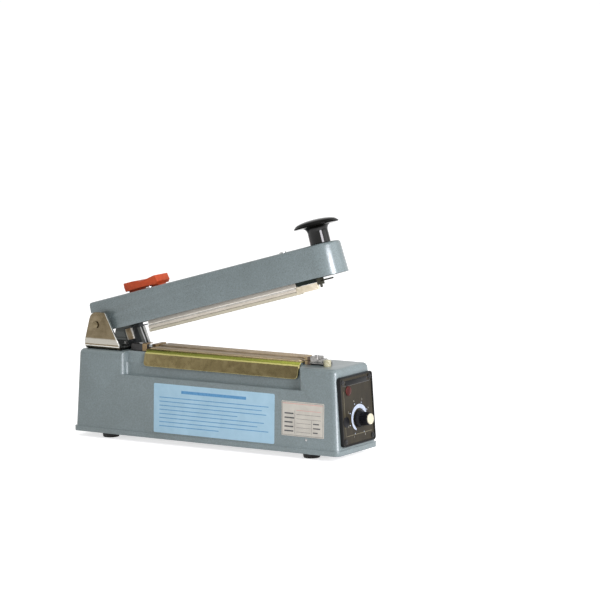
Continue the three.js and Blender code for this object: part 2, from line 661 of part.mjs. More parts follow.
function bedPlate() {
  const x0 = fromLeft(bed.left);
  const x1 = fromLeft(bed.right);
  let solid = alongX(bedSection(0), x0, x1);
  solid = solid.subtract(alongX(bedSection(bed.thickness), x0 - overrun, x1 + overrun));
  const low = body.top - bed.edge.drop;
  const high = body.top + bed.flat.rise + overrun;
  const radius = bed.cornerRadius;
  const side = new THREE.Shape();
  side.moveTo(x0 + radius, low);
  side.lineTo(x1 - radius, low);
  side.absarc(x1 - radius, low + radius, radius, -Math.PI / 2, 0);
  side.lineTo(x1, high);
  side.lineTo(x0, high);
  side.lineTo(x0, low + radius);
  side.absarc(x0 + radius, low + radius, radius, Math.PI, Math.PI * 1.5);
  solid = solid.intersect(alongY(side, -body.width / 2, body.width / 2));
  const slot = box(x0 - overrun, fromLeft(groove.right), groove.front, groove.back, body.top, high);
  return toGeometry(solid.subtract(slot));
}

const bedTop = body.top + bed.flat.rise;
const padTop = bedTop + pad.height;
const clothTop = padTop + ribbon.thickness + release.thickness;
const stripRear = -strip.rear;
const stripFront = stripRear - strip.width;
const sealLine = (stripFront + stripRear) / 2;

function bedBar() {
  const x0 = fromLeft(bed.left + pad.endGap);
  const x1 = fromLeft(bed.right - pad.endGap);
  return toGeometry(box(x0, x1, -bed.flat.halfWidth + pad.inset, groove.front, bedTop, padTop));
}

function rearPad() {
  const x0 = fromLeft(bed.left + pad.endGap);
  const x1 = fromLeft(groove.right);
  const y1 = bed.flat.halfWidth - pad.inset;
  const lean = pad.rearHeight / 2;
  const section = polygon([
    [groove.back, bedTop], [y1, bedTop], [y1 - lean, bedTop + pad.rearHeight], [groove.back, bedTop + pad.rearHeight],
  ]);
  return toGeometry(alongX(section, x0, x1));
}

function heatingRibbon() {
  const x0 = fromLeft(bed.left - ribbon.overhang);
  const x1 = fromLeft(bed.right + ribbon.overhang);
  const half = ribbon.width / 2;
  return toGeometry(box(x0, x1, sealLine - half, sealLine + half, padTop, padTop + ribbon.thickness));
}

function releaseCloth() {
  const x0 = fromLeft(bed.left + release.endGap);
  const x1 = fromLeft(bed.right - release.endGap);
  const y0 = -bed.flat.halfWidth + pad.inset + release.margin;
  const y1 = groove.front - release.margin;
  return toGeometry(box(x0, x1, y0, y1, padTop + ribbon.thickness, clothTop));
}

// The ribbon's terminals: a moulded block at the hinge end, a brass block and a clamp at the panel end

const leftTerminalPlace = {
  x1: fromLeft(bed.left - leftTerminal.gap),
  y0: groove.front - leftTerminal.fromGroove - leftTerminal.width,
};

function leftTerminalBlock() {
  const { x1, y0 } = leftTerminalPlace;
  const x0 = x1 - leftTerminal.length;
  const z0 = body.top;
  const z1 = body.top + leftTerminal.height;
  const c = leftTerminal.chamfer;
  const shelf = padTop - seat;
  const side = polygon([
    [x0, z0], [x1, z0], [x1, shelf], [x1 - leftTerminal.lap, shelf], [x1 - leftTerminal.lap, z1],
    [x0 + c, z1], [x0, z1 - c],
  ]);
  return toGeometry(alongY(side, y0, y0 + leftTerminal.width));
}

function leftTerminalScrew() {
  const { x1, y0 } = leftTerminalPlace;
  const z1 = body.top + leftTerminal.height;
  const x = x1 - leftTerminal.length / 2;
  return toGeometry(post(x, y0 + leftTerminal.width / 2, z1, z1 + leftTerminal.screw.height, leftTerminal.screw.radius));
}

const rightTerminalPlace = {
  x0: fromLeft(bed.right) + rightTerminal.gap,
  y0: sealLine - rightTerminal.blockWidth / 2 + rightTerminal.shift,
};

function rightTerminalBlock() {
  const { x0, y0 } = rightTerminalPlace;
  const x1 = x0 + rightTerminal.blockLength;
  const z0 = body.top;
  const z1 = body.top + rightTerminal.blockHeight;
  const solid = box(x0, x1, y0, y0 + rightTerminal.blockWidth, z0, z1);
  const y = y0 + rightTerminal.blockWidth / 2;
  const hole = post((x0 + x1) / 2, y, z1 - rightTerminal.holeRadius * 2, z1 + overrun, rightTerminal.holeRadius);
  const ribbonSlot = box(x0 - overrun, x1 + overrun, y0 - overrun, y, padTop - fit, padTop + ribbon.thickness + fit);
  return toGeometry(solid.subtract(hole).subtract(ribbonSlot));
}

const clampPlate = {
  x0: rightTerminalPlace.x0 + rightTerminal.blockLength - rightTerminal.plate.legLength / 2 + fit,
  z0: body.top + rightTerminal.plate.lift,
};

function rightTerminalPlate() {
  const { y0 } = rightTerminalPlace;
  const size = rightTerminal.plate;
  const x0 = rightTerminalPlace.x0 + rightTerminal.blockLength + fit;
  const x1 = x0 + size.length;
  const top = clampPlate.z0 + size.thickness;
  const solid = box(x0, x1, y0, y0 + size.width, clampPlate.z0, top);
  const leg = box(x1 - size.legLength, x1, y0 + size.width / 2, y0 + size.width, body.top, top);
  const nearLeg = box(x0, x0 + size.legLength, y0 + size.width / 2, y0 + size.width, body.top, top);
  return toGeometry(solid.add(leg).add(nearLeg));
}

function rightTerminalClamp() {
  const { y0 } = rightTerminalPlace;
  const size = rightTerminal.clamp;
  const x0 = rightTerminalPlace.x0 + rightTerminal.blockLength + fit * 2;
  const z0 = clampPlate.z0 + rightTerminal.plate.thickness;
  const x1 = x0 + size.length;
  const tall = box(x0, x1, y0, y0 + size.width, z0, z0 + size.height);
  const low = box(x1 - overrun, x1 + size.stepLength, y0, y0 + size.width, z0, z0 + size.stepHeight);
  return toGeometry(tall.add(low));
}

function rightTerminalScrew() {
  const { y0 } = rightTerminalPlace;
  const size = rightTerminal.clamp;
  const x = rightTerminalPlace.x0 + rightTerminal.blockLength + fit * 2 + size.length / 2;
  const z0 = clampPlate.z0 + rightTerminal.plate.thickness + size.height;
  return toGeometry(post(x, y0 + size.width / 2, z0, z0 + rightTerminal.screw.height, rightTerminal.screw.radius));
}

// The switch: a button through the casing's top and a microswitch under it

function switchButton() {
  const { x, y } = plungerPlace;
  const top = body.top + plunger.rise;
  const under = body.top - body.wall - plunger.stem;
  const profile = [
    [0, under], [plunger.radius, under], [plunger.radius, top - plunger.crown],
    [plunger.radius - plunger.crown, top], [0, top],
  ];
  return toGeometry(turned(profile).translate([x, y, 0]));
}

function switchBody() {
  const { x, y } = plungerPlace;
  const top = body.top - body.wall - plunger.stem - plunger.travel - seat;
  const x0 = x - microswitch.ahead;
  const x1 = x0 + microswitch.length;
  const y0 = y - microswitch.width / 2;
  const y1 = y + microswitch.width / 2;
  let solid = box(x0, x1, y0, y1, top - microswitch.height, top);
  const lugBottom = top - microswitch.tabLength;
  solid = solid.add(box(x1 - microswitch.tabLength, x1, y0, y1, lugBottom, body.top - body.wall));
  solid = solid.add(box(x0, x0 + microswitch.lugWidth, y0, y1, lugBottom, body.top - body.wall));
  for (const share of [0.2, 0.5, 0.8]) {
    const tab = x0 + microswitch.length * share;
    const half = microswitch.tabThickness / 2;
    const z0 = top - microswitch.height;
    solid = solid.add(box(tab - half, tab + half, y - half * 4, y + half * 4, z0 - microswitch.tabLength, z0 + half));
  }
  return toGeometry(solid);
}

// The control panel leans with the end wall, so its pieces share one turned group.
// In that group x points out of the panel, y to the back and z up along it, from the panel's middle.

const panelTurn = radians(body.draftDegrees);
const panelPlace = { x: body.length / 2 - wallInset(panel.middle), z: panel.middle };
const panelFace = seat + panel.thickness;

function leanToPanel(solid) {
  return solid.rotate([0, -body.draftDegrees, 0]).translate([panelPlace.x, 0, panelPlace.z]);
}

function panelWindow() {
  const w = panel.width / 2 - panel.window.sideMargin;
  const h = panel.height / 2 - panel.window.endMargin;
  return leanToPanel(box(-body.wall * 2, overrun, -w, w, -h, h));
}

const panelScrewPlaces = [];
for (const [name, y, z] of [
  ['top_front', -1, 1],
  ['top_rear', 1, 1],
  ['bottom_front', -1, -1],
  ['bottom_rear', 1, -1],
]) {
  const { inset } = panel.screw;
  panelScrewPlaces.push({ name, y: y * (panel.width / 2 - inset), z: z * (panel.height / 2 - inset) });
}

function controlPanel() {
  const w = panel.width / 2;
  const h = panel.height / 2;
  const outline = roundedRectangle(-w, w, -h, h, panel.cornerRadius);
  let solid = alongX(outline, seat, panelFace + panel.rimRise);
  const sunk = roundedRectangle(-w + panel.rim, w - panel.rim, -h + panel.rim, h - panel.rim, panel.cornerRadius - panel.rim);
  solid = solid.subtract(alongX(sunk, panelFace, panelFace + overrun));
  const bandTop = h - panel.rim - panel.screw.headRadius;
  const band = box(
    panelFace - seat, panelFace + panel.band.rise, -w + panel.screw.inset * 2, w - panel.screw.inset * 2,
    bandTop - panel.band.height, bandTop,
  );
  solid = solid.add(band);
  for (const { y, z } of panelScrewPlaces) {
    solid = solid.subtract(longBar(y, z, -overrun, panelFace + overrun, panel.screw.radius + fit));
  }
  solid = solid.subtract(longBar(dial.fromCentre, dial.fromMiddle, -overrun, panelFace + overrun, pot.bushRadius + fit));
  solid = solid.subtract(longBar(lamp.fromCentre, lamp.fromMiddle, -overrun, panelFace + overrun, lamp.barrelRadius + fit));
  return toGeometry(solid);
}

function panelScrew(y, z) {
  const head = longBar(y, z, panelFace + seat / 2, panelFace + panel.screw.headHeight, panel.screw.headRadius);
  const shank = longBar(y, z, seat, panelFace + panel.screw.headHeight / 2, panel.screw.radius);
  return toGeometry(head.add(shank));
}

function pilotLamp() {
  const { fromCentre: y, fromMiddle: z } = lamp;
  const barrel = longBar(y, z, -lamp.depth, panelFace + seat, lamp.barrelRadius);
  const flange = longBar(y, z, panelFace + seat / 2, panelFace + lamp.rise / 2, lamp.radius, roundSides);
  const crown = longBar(y, z, panelFace + seat / 2, panelFace + lamp.rise, lamp.radius * 0.8, roundSides);
  return toGeometry(barrel.add(flange).add(crown));
}

function potentiometer() {
  const { fromCentre: y, fromMiddle: z } = dial;
  const can = longBar(y, z, -pot.depth, -seat, pot.radius, roundSides);
  const bushing = longBar(y, z, -seat * 2, panelFace - seat, pot.bushRadius);
  const shaft = longBar(y, z, 0, panelFace + pot.shaftReach, pot.shaftRadius);
  return toGeometry(can.add(bushing).add(shaft));
}

function timerKnob() {
  const x0 = panelFace + dial.lift;
  const top = x0 + dial.height;
  const profile = [
    [0, x0], [dial.skirtRadius, x0], [dial.skirtRadius, x0 + dial.skirtHeight / 3],
    [dial.bodyRadius + dial.fluteDepth, x0 + dial.skirtHeight], [dial.bodyRadius, x0 + dial.skirtHeight * 1.2],
    [dial.bodyRadius - dial.fluteDepth, top], [0, top],
  ];
  let solid = turned(profile, dial.flutes * 2);
  for (let i = 0; i < dial.flutes; i += 1) {
    const angle = (i / dial.flutes) * 2 * Math.PI;
    const out = dial.bodyRadius + dial.fluteDepth;
    const x = out * Math.cos(angle);
    const y = out * Math.sin(angle);
    solid = solid.subtract(post(x, y, x0 + dial.skirtHeight * 1.2, top + overrun, dial.fluteDepth * 1.6, dial.fluteDepth * 1.6, 6));
  }
  const pocket = post(0, 0, top - dial.cap.recess, top + overrun, dial.cap.radius + fit);
  const bore = post(0, 0, x0 - overrun, panelFace + pot.shaftReach + seat, pot.shaftRadius + fit);
  solid = solid.subtract(pocket).subtract(bore);
  return toGeometry(solid.rotate([0, 90, 0]).translate([0, dial.fromCentre, dial.fromMiddle]));
}

function knobCap() {
  const x0 = panelFace + dial.lift + dial.height - dial.cap.recess + seat / 3;
  const profile = [
    [0, x0], [dial.cap.radius, x0], [dial.cap.radius, x0 + dial.cap.thickness * 0.7],
    [dial.cap.radius * 0.8, x0 + dial.cap.thickness], [0, x0 + dial.cap.thickness],
  ];
  return toGeometry(turned(profile).rotate([0, 90, 0]).translate([0, dial.fromCentre, dial.fromMiddle]));
}

function timerBoard() {
  const w = panel.width / 2 - board.sideMargin;
  const h = (panel.height - board.footMargin - board.headMargin) / 2;
  const z = board.footMargin + h - panel.height / 2;
  const x1 = -board.standOff;
  const behind = x1 - board.thickness;
  const sheet = box(behind, x1, -w, w, z - h, z + h);
  const relay = box(behind - board.relayDepth, x1 - fit, w / 6, w * 0.8, z - h * 0.8, z - h / 3);
  const capacitor = longBar(-w / 2, z - h / 4, behind - board.can.depth, x1 - fit, board.can.radius);
  const stand = longBar(dial.fromCentre, dial.fromMiddle, x1 - fit, -pot.depth - seat, pot.shaftRadius);
  return toGeometry(sheet.add(relay).add(capacitor).add(stand));
}

// The supply: a transformer on the base plate and the cable inlet's bush in the rear wall

function transformerCore() {
  const x = fromLeft(transformer.centre);
  const half = transformer.length / 2;
  const w = transformer.width / 2;
  const limb = (transformer.height * (1 - transformer.windowShare)) / 2;
  const top = floorTop + transformer.height;
  let solid = box(x - half, x + half, -w, w, floorTop, top);
  const window = transformer.length * transformer.windowShare * 0.5;
  for (const side of [-1, 1]) {
    const middle = x + (side * (half - limb + transformer.length * 0.1)) / 2;
    solid = solid.subtract(box(middle - window / 2, middle + window / 2, -w - overrun, w + overrun, floorTop + limb, top - limb));
  }
  return { solid, x, limb, top, window, half };
}

function transformerCoil() {
  const { x, limb, top, window, half } = transformerCore();
  const reach = (half - limb + transformer.length * 0.1) / 2;
  const y = transformer.coilWidth / 2;
  const outer = box(x - reach - window / 2 + seat, x + reach + window / 2 - seat, -y, y, floorTop + limb + seat, top - limb - seat);
  const inner = box(
    x - reach + window / 2 - seat, x + reach - window / 2 + seat, -transformer.width / 2 - seat, transformer.width / 2 + seat,
    floorTop, top,
  );
  return toGeometry(outer.subtract(inner));
}

const bushPlace = { x: fromLeft(bush.fromLeft), z: body.bottom + bush.rise };

function rearWall(z) {
  return body.width / 2 - wallInset(z);
}

function bushHole() {
  const y = rearWall(bushPlace.z);
  return crossBar(bushPlace.x, bushPlace.z, y - body.wall * 2, y + overrun, bush.radius - bush.lip + fit);
}

function inletBush() {
  const y = rearWall(bushPlace.z) + seat * 2;
  const flange = crossBar(bushPlace.x, bushPlace.z, y, y + bush.flange, bush.radius);
  const neckOfBush = crossBar(bushPlace.x, bushPlace.z, y - bush.depth - seat, y + fit, bush.radius - bush.lip);
  const hole = crossBar(bushPlace.x, bushPlace.z, y - bush.depth - overrun, y + bush.flange + overrun, bush.innerRadius);
  return toGeometry(flange.add(neckOfBush).subtract(hole));
}

// The arm, drawn closed and level. Its group puts the hinge pin at x and z zero and tilts it open.

const closedRise = hinge.z - clothTop; // from the release cloth up to the pin
const stripBottom = -closedRise + strip.gap;
const hangerPlaces = [strip.left + bar.hangerInset, strip.right - bar.hangerInset];

function armRing(inset, z) {
  const halfWidth = arm.width / 2 - inset;
  const tailRadius = Math.max(arm.rounding.tail - inset, arm.rounding.edge / 2);
  return ring(-arm.tail + inset, arm.reach - inset, halfWidth, tailRadius, halfWidth - weld, z);
}

function armShell() {
  const slope = Math.tan(radians(arm.draftDegrees));
  const shoulder = armTop - arm.rounding.edge;
  const shoulderInset = (shoulder + arm.hinge.drop) * slope;
  const rings = [armRing(0, -arm.hinge.drop)];
  for (let step = 0; step <= arcSteps; step += 1) {
    const angle = (step / arcSteps) * (Math.PI / 2);
    const rounding = arm.rounding.edge * (1 - Math.cos(angle));
    rings.push(armRing(shoulderInset + rounding, shoulder + arm.rounding.edge * Math.sin(angle)));
  }
  const roofInset = (armRoof + arm.hinge.drop) * slope;
  const hollow = loft([armRing(arm.wall - overrun * slope, -arm.hinge.drop - overrun), armRing(arm.wall + roofInset, armRoof)]);
  return loft(rings).subtract(hollow);
}

// What the cheeks lose round the hinge: below the tail and outside the lug round the pin
function tailCutter() {
  const far = arm.tail + overrun;
  const low = arm.hinge.drop + overrun;
  const startAngle = Math.PI * 0.72;
  const shape = new THREE.Shape();
  shape.moveTo(-far, arm.hinge.tailRise);
  shape.lineTo(-far, -low);
  shape.lineTo(arm.hinge.lugRadius / 2, -low);
  shape.lineTo(arm.hinge.lugRadius / 2, -arm.hinge.drop);
  shape.lineTo(0, -arm.hinge.lugRadius);
  shape.absarc(0, 0, arm.hinge.lugRadius, -Math.PI / 2, -2 * Math.PI + startAngle, true);
  shape.lineTo(arm.hinge.lugRadius * Math.cos(startAngle), arm.hinge.tailRise);
  return alongY(shape, -arm.width, arm.width);
}

function armCasting() {
  const inside = arm.width / 2 - arm.wall;
  const openTail = box(-arm.tail - overrun, 0, -inside, inside, -arm.hinge.drop - overrun, arm.hinge.tailRise);
  let solid = armShell().subtract(tailCutter()).subtract(openTail);
  solid = solid.subtract(crossBar(0, 0, -arm.width, arm.width, pin.radius + fit));
  const slotLeft = neck.left - neck.slotGap;
  const slotRight = neck.left + neck.length + slider.travel + neck.slotGap;
  const half = neck.slotWidth / 2;
  const slot = roundedRectangle(slotLeft, slotRight, -half, half, half * 0.9);
  solid = solid.subtract(alongZ(slot, armRoof - overrun, armTop + overrun));
  const hole = post(mushroom.fromPin, 0, armRoof - overrun, armTop + overrun, mushroom.screw.radius + fit);
  solid = solid.subtract(hole);
  for (const x of hangerPlaces) {
    solid = solid.subtract(post(x, sealLine, armRoof - overrun, armTop + overrun, bar.hangerRadius + fit));
  }
  return toGeometry(solid.add(armRib(arm.rib.fromPin)).add(armRib(mushroom.fromPin - arm.rib.fromKnob)));
}

// A low rib across the roof from cheek to cheek
function armRib(x) {
  const { thickness, height } = arm.rib;
  const inside = arm.width / 2 - arm.wall / 2 - (armTop + arm.hinge.drop) * Math.tan(radians(arm.draftDegrees));
  return box(x, x + thickness, -inside, inside, armRoof - height, armRoof + arm.roof / 2);
}

function mushroomKnob() {
  const z0 = armTop + seat;
  const rim = z0 + mushroom.rimHeight;
  const fillet = mushroom.underFillet;
  const profile = [[0, z0], [mushroom.stemRadius, z0], [mushroom.stemRadius - seat, rim - fillet]];
  for (let step = 1; step <= arcSteps; step += 1) {
    const angle = (step / arcSteps) * (Math.PI / 2);
    profile.push([mushroom.stemRadius + fillet * (1 - Math.cos(angle)), rim - fillet * (1 - Math.sin(angle))]);
  }
  profile.push([mushroom.capRadius - mushroom.rimThickness, rim - seat]);
  profile.push([mushroom.capRadius, rim + mushroom.rimThickness / 2]);
  profile.push([mushroom.capRadius - mushroom.rimThickness, rim + mushroom.rimThickness * 1.5]);
  const domeStart = rim + mushroom.rimThickness * 1.5;
  const domeRise = mushroom.crown - mushroom.rimThickness * 1.5;
  for (let step = 1; step <= arcSteps; step += 1) {
    const angle = (step / arcSteps) * (Math.PI / 2);
    const radius = (mushroom.capRadius - mushroom.rimThickness) * Math.cos(angle);
    profile.push([step === arcSteps ? 0 : radius, domeStart + domeRise * Math.sin(angle)]);
  }
  const solid = turned(profile, 36);
  const hole = post(0, 0, z0 - overrun, z0 + mushroom.screw.depth + seat, mushroom.screw.radius + fit);
  return toGeometry(solid.subtract(hole).translate([mushroom.fromPin, 0, 0]));
}

function mushroomScrew() {
  const under = armRoof - seat;
  const x = mushroom.fromPin;
  const head = post(x, 0, under - mushroom.screw.radius, under, mushroom.screw.radius * 2);
  const shank = post(x, 0, under - mushroom.screw.radius / 2, armTop + mushroom.screw.depth, mushroom.screw.radius);
  return toGeometry(head.add(shank));
}

const barBottom = stripBottom + strip.height - strip.gap;

function sealBar() {
  const y0 = stripFront;
  const y1 = stripRear;
  const top = barBottom + bar.height;
  const ledge = barBottom + bar.flangeHeight;
  const out = bar.flange;
  const inside = strip.width / 4;
  const section = polygon([
    [y0, barBottom], [y0 + inside, barBottom], [y0 + inside, barBottom + out], [y1 - inside, barBottom + out],
    [y1 - inside, barBottom], [y1, barBottom], [y1, ledge], [y1 - out, ledge + out], [y1 - out, top], [y0 + out, top],
    [y0 + out, ledge + out], [y0, ledge],
  ]);
  return toGeometry(alongX(section, strip.left, strip.right));
}

function siliconeStrip() {
  const inside = strip.width / 4;
  const y0 = stripFront;
  const y1 = stripRear;
  const top = barBottom - seat;
  const tongue = top + bar.flange;
  const edge = strip.height / 6;
  const section = polygon([
    [y0 + edge, stripBottom], [y1 - edge, stripBottom], [y1, stripBottom + edge], [y1, top],
    [y1 - inside - seat, top], [y1 - inside - seat, tongue], [y0 + inside + seat, tongue],
    [y0 + inside + seat, top], [y0, top], [y0, stripBottom + edge],
  ]);
  return toGeometry(alongX(section, strip.left, strip.right));
}

function barHanger(x) {
  const z0 = barBottom + bar.height + seat;
  const head = armTop + seat;
  const shank = post(x, sealLine, z0, head + seat, bar.hangerRadius);
  const low = post(x, sealLine, head, head + bar.hangerHead.height / 2, bar.hangerHead.radius);
  const crown = post(x, sealLine, head, head + bar.hangerHead.height, bar.hangerHead.radius, bar.hangerHead.radius * 0.8);
  return toGeometry(shank.add(low).add(crown));
}

const endPlatePlace = { x0: strip.right + seat, z0: stripBottom + endPlate.rise };

function barEndPlate() {
  const { x0, z0 } = endPlatePlace;
  const solid = box(x0, x0 + endPlate.length, stripFront, stripFront + endPlate.thickness, z0, z0 + endPlate.height);
  const pad0 = box(x0, x0 + endPlate.thickness, stripFront, stripRear, z0 + endPlate.height / 2, z0 + endPlate.height);
  return toGeometry(solid.add(pad0));
}

// The black block under the arm's nose that carries the bar's end plate
function barEndBlock() {
  const x0 = strip.right + endBlock.fromBar;
  const low = endPlatePlace.z0 + endPlate.height + endBlock.gap;
  const high = armRoof - arm.rib.height - seat;
  const y0 = stripFront + endBlock.inset;
  return toGeometry(box(x0, x0 + endBlock.length, y0, y0 + endBlock.thickness, low, high));
}

function switchStriker() {
  const x0 = endPlatePlace.x0 + endPlate.length + seat;
  const z1 = -arm.hinge.drop - seat;
  const z0 = z1 - striker.height;
  const y1 = plunger.fromCentre + striker.radius + seat;
  const bracketBlock = box(x0, x0 + striker.length, y1 - striker.width, y1, z0, z1);
  const buttonTop = body.top + plunger.rise - hinge.z;
  const x = plungerPlace.x - hinge.x;
  const finger = post(x, plunger.fromCentre, buttonTop + seat, z1 - seat, striker.radius);
  return toGeometry(bracketBlock.add(finger));
}

function tensionRod() {
  const x0 = endPlatePlace.x0 + endPlate.length + striker.length + seat * 2;
  const z = -arm.hinge.drop - striker.height / 2;
  return toGeometry(longBar(stripFront + striker.width / 2, z, x0, x0 + striker.rodLength, striker.rodRadius, 10));
}

// The cutter: a saddle-shaped slider on the arm, a shoe under its roof and a blade holder below

function cutterSlider() {
  const x0 = slider.left;
  const x1 = slider.left + slider.length;
  const z0 = armTop + slider.lift;
  const z1 = z0 + slider.height;
  const middle = (x0 + x1) / 2;
  const crest = x0 + slider.crest;
  const valley = x0 + slider.valley;
  const sweep = slider.sweep;
  const rim = z1 - slider.topRadius / 3;
  const dip = z1 - slider.saddleDrop;
  const shape = new THREE.Shape();
  shape.moveTo(x0 + slider.topRadius / 3, z0);
  shape.quadraticCurveTo(middle, z0 + slider.archRise * 2, x1 - slider.topRadius, z0);
  shape.lineTo(x1 + slider.topRadius / 2, z0 + slider.height * 0.3);
  shape.lineTo(x1 - slider.topRadius / 2, z1);
  shape.bezierCurveTo(x1 - sweep, z1, valley + sweep, dip, valley, dip);
  shape.bezierCurveTo(valley - sweep, dip, crest + sweep, rim, crest, rim);
  shape.lineTo(x0, rim);
  shape.lineTo(x0 - slider.topRadius / 6, z0 + slider.height / 2);
  const half = slider.width / 2;
  let solid = alongY(shape, -half, half);
  const side = neck.width / 2;
  const section = roundedRectangle(neck.left, neck.left + neck.length, -side, side, side * 0.9);
  const stem = alongZ(section, armRoof - seat * 2, z0 + slider.height / 3);
  const soleHalf = half - slider.soleInset;
  const sole = box(x0 + slider.topRadius, x1 - slider.topRadius, -soleHalf, soleHalf, armTop + seat, z0 + slider.archRise);
  return toGeometry(solid.add(stem).add(sole));
}

function cutterCarriage() {
  const shoe = carriage.shoe;
  const shoeTop = armRoof - seat * 3;
  const shoeLeft = neck.left - (shoe.length - neck.length) / 2;
  const block = box(shoeLeft, shoeLeft + shoe.length, shoe.front, shoe.back, shoeTop - shoe.height, shoeTop);
  const skew = carriage.skew;
  const low = -carriage.drop;
  const outline = polygon([
    [carriage.plateLeft + skew, low], [carriage.plateRight + skew, low], [carriage.plateRight, -arm.hinge.drop - overrun],
    [carriage.plateRight, shoeTop - seat], [shoeLeft, shoeTop - seat], [shoeLeft, -arm.hinge.drop - overrun],
    [carriage.plateLeft, -arm.hinge.drop - overrun],
  ]);
  const front = carriage.plateFront;
  const back = front + carriage.plateThickness;
  const plate = alongY(outline, front, back);
  const flangeTop = -carriage.flange.drop;
  const flangeLeft = carriage.plateLeft;
  const flange = box(
    flangeLeft, flangeLeft + carriage.flange.length, back - seat, back + carriage.flange.width,
    flangeTop - carriage.flange.thickness, flangeTop,
  );
  return toGeometry(block.add(plate).add(flange));
}

function cutterBlade() {
  const y1 = carriage.plateFront - seat / 3;
  const y0 = y1 - blade.thickness;
  const x1 = carriage.plateRight + blade.reach - blade.slant;
  const x0 = x1 - blade.width;
  const outline = polygon([
    [x0 + blade.slant, -blade.bottom], [x1 + blade.slant, -blade.bottom], [x1, -blade.top], [x0, -blade.top],
  ]);
  return toGeometry(alongY(outline, y0, y1));
}

function bladeClamp() {
  const y1 = carriage.plateFront - seat / 3;
  const y0 = y1 - clamp.thickness;
  const solid = box(clamp.left, clamp.left + clamp.length, y0, y1, -clamp.top - clamp.height, -clamp.top);
  return toGeometry(solid);
}

// Assembly

const sealer = new THREE.Group();

function add(parent, name, geometry, material) {
  const mesh = new THREE.Mesh(geometry, material());
  mesh.name = name;
  parent.add(mesh);
  return mesh;
}

const base = new THREE.Group();
sealer.add(base);
add(base, 'body_casting', bodyCasting(), finishes.hammertone);
add(base, 'base_plate', basePlateShape(), finishes.steel);
for (const { name, x, y } of footPlaces) {
  add(base, `foot_${name}`, rubberFoot(x, y), finishes.rubber);
  add(base, `foot_screw_${name}`, footScrew(x, y), finishes.steel);
}
add(base, 'hinge_bracket', hingeBracket(), finishes.nickel);
for (const { name, x, y } of bracketScrewPlaces) {
  add(base, `bracket_screw_${name}`, bracketScrew(x, y), finishes.steel);
}
add(base, 'hinge_pin', hingePin(), finishes.steel);
add(base, 'pin_clip', pinClip(), finishes.steel);
add(base, 'arm_spring', armSpring(), finishes.steel);
add(base, 'bed_plate', bedPlate(), finishes.zincYellow);
add(base, 'bed_bar', bedBar(), finishes.phenolic);
add(base, 'rear_pad', rearPad(), finishes.beigeCloth);
add(base, 'heating_ribbon', heatingRibbon(), finishes.steel);
add(base, 'release_cloth', releaseCloth(), finishes.beigeCloth);
add(base, 'left_terminal_block', leftTerminalBlock(), finishes.blackPlastic);
add(base, 'left_terminal_screw', leftTerminalScrew(), finishes.steel);
add(base, 'right_terminal_block', rightTerminalBlock(), finishes.brass);
add(base, 'right_terminal_plate', rightTerminalPlate(), finishes.steel);
add(base, 'right_terminal_clamp', rightTerminalClamp(), finishes.aluminium);
add(base, 'right_terminal_screw', rightTerminalScrew(), finishes.steel);
add(base, 'switch_body', switchBody(), finishes.blackPlastic);
add(base, 'switch_button', switchButton(), finishes.clearPlastic);
add(base, 'transformer_core', toGeometry(transformerCore().solid), finishes.ironCore);
add(base, 'transformer_coil', transformerCoil(), finishes.copperWinding);
add(base, 'inlet_bush', inletBush(), finishes.blackPlastic);

const panelGroup = new THREE.Group();
panelGroup.position.set(panelPlace.x, 0, panelPlace.z);
panelGroup.rotation.y = -panelTurn;
base.add(panelGroup);
add(panelGroup, 'control_panel', controlPanel(), finishes.blackPlastic);
for (const { name, y, z } of panelScrewPlaces) {
  add(panelGroup, `panel_screw_${name}`, panelScrew(y, z), finishes.steel);
}
add(panelGroup, 'pilot_lamp', pilotLamp(), finishes.redLens);
add(panelGroup, 'potentiometer', potentiometer(), finishes.steel);
add(panelGroup, 'timer_board', timerBoard(), finishes.greenBoard);
add(panelGroup, 'timer_knob', timerKnob(), finishes.blackPlastic);
add(panelGroup, 'timer_knob_cap', knobCap(), finishes.ivoryPlastic);

const armGroup = new THREE.Group();
armGroup.position.set(hinge.x, 0, hinge.z);
armGroup.rotation.y = -radians(arm.openDegrees);
base.add(armGroup);
add(armGroup, 'arm_casting', armCasting(), finishes.hammertone);
add(armGroup, 'mushroom_knob', mushroomKnob(), finishes.blackPlastic);
add(armGroup, 'mushroom_screw', mushroomScrew(), finishes.steel);
add(armGroup, 'seal_bar', sealBar(), finishes.aluminium);
add(armGroup, 'silicone_strip', siliconeStrip(), finishes.silicone);
hangerPlaces.forEach((x, i) => add(armGroup, `bar_hanger_${i + 1}`, barHanger(x), finishes.steel));
add(armGroup, 'bar_end_plate', barEndPlate(), finishes.phenolic);
add(armGroup, 'bar_end_block', barEndBlock(), finishes.blackPlastic);
add(armGroup, 'switch_striker', switchStriker(), finishes.steel);
add(armGroup, 'tension_rod', tensionRod(), finishes.steel);
add(armGroup, 'cutter_slider', cutterSlider(), finishes.redPlastic);
add(armGroup, 'cutter_carriage', cutterCarriage(), finishes.nickel);
add(armGroup, 'cutter_blade', cutterBlade(), finishes.steel);
add(armGroup, 'blade_clamp', bladeClamp(), finishes.brass);

// The outline's middle goes to x and y zero, because the timer knob stands out at one end only
sealer.updateMatrixWorld(true);
const outlineBox = new THREE.Box3().setFromObject(sealer, true);
base.position.x = -(outlineBox.min.x + outlineBox.max.x) / 2;
base.position.y = -(outlineBox.min.y + outlineBox.max.y) / 2;

export default sealer;
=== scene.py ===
import math

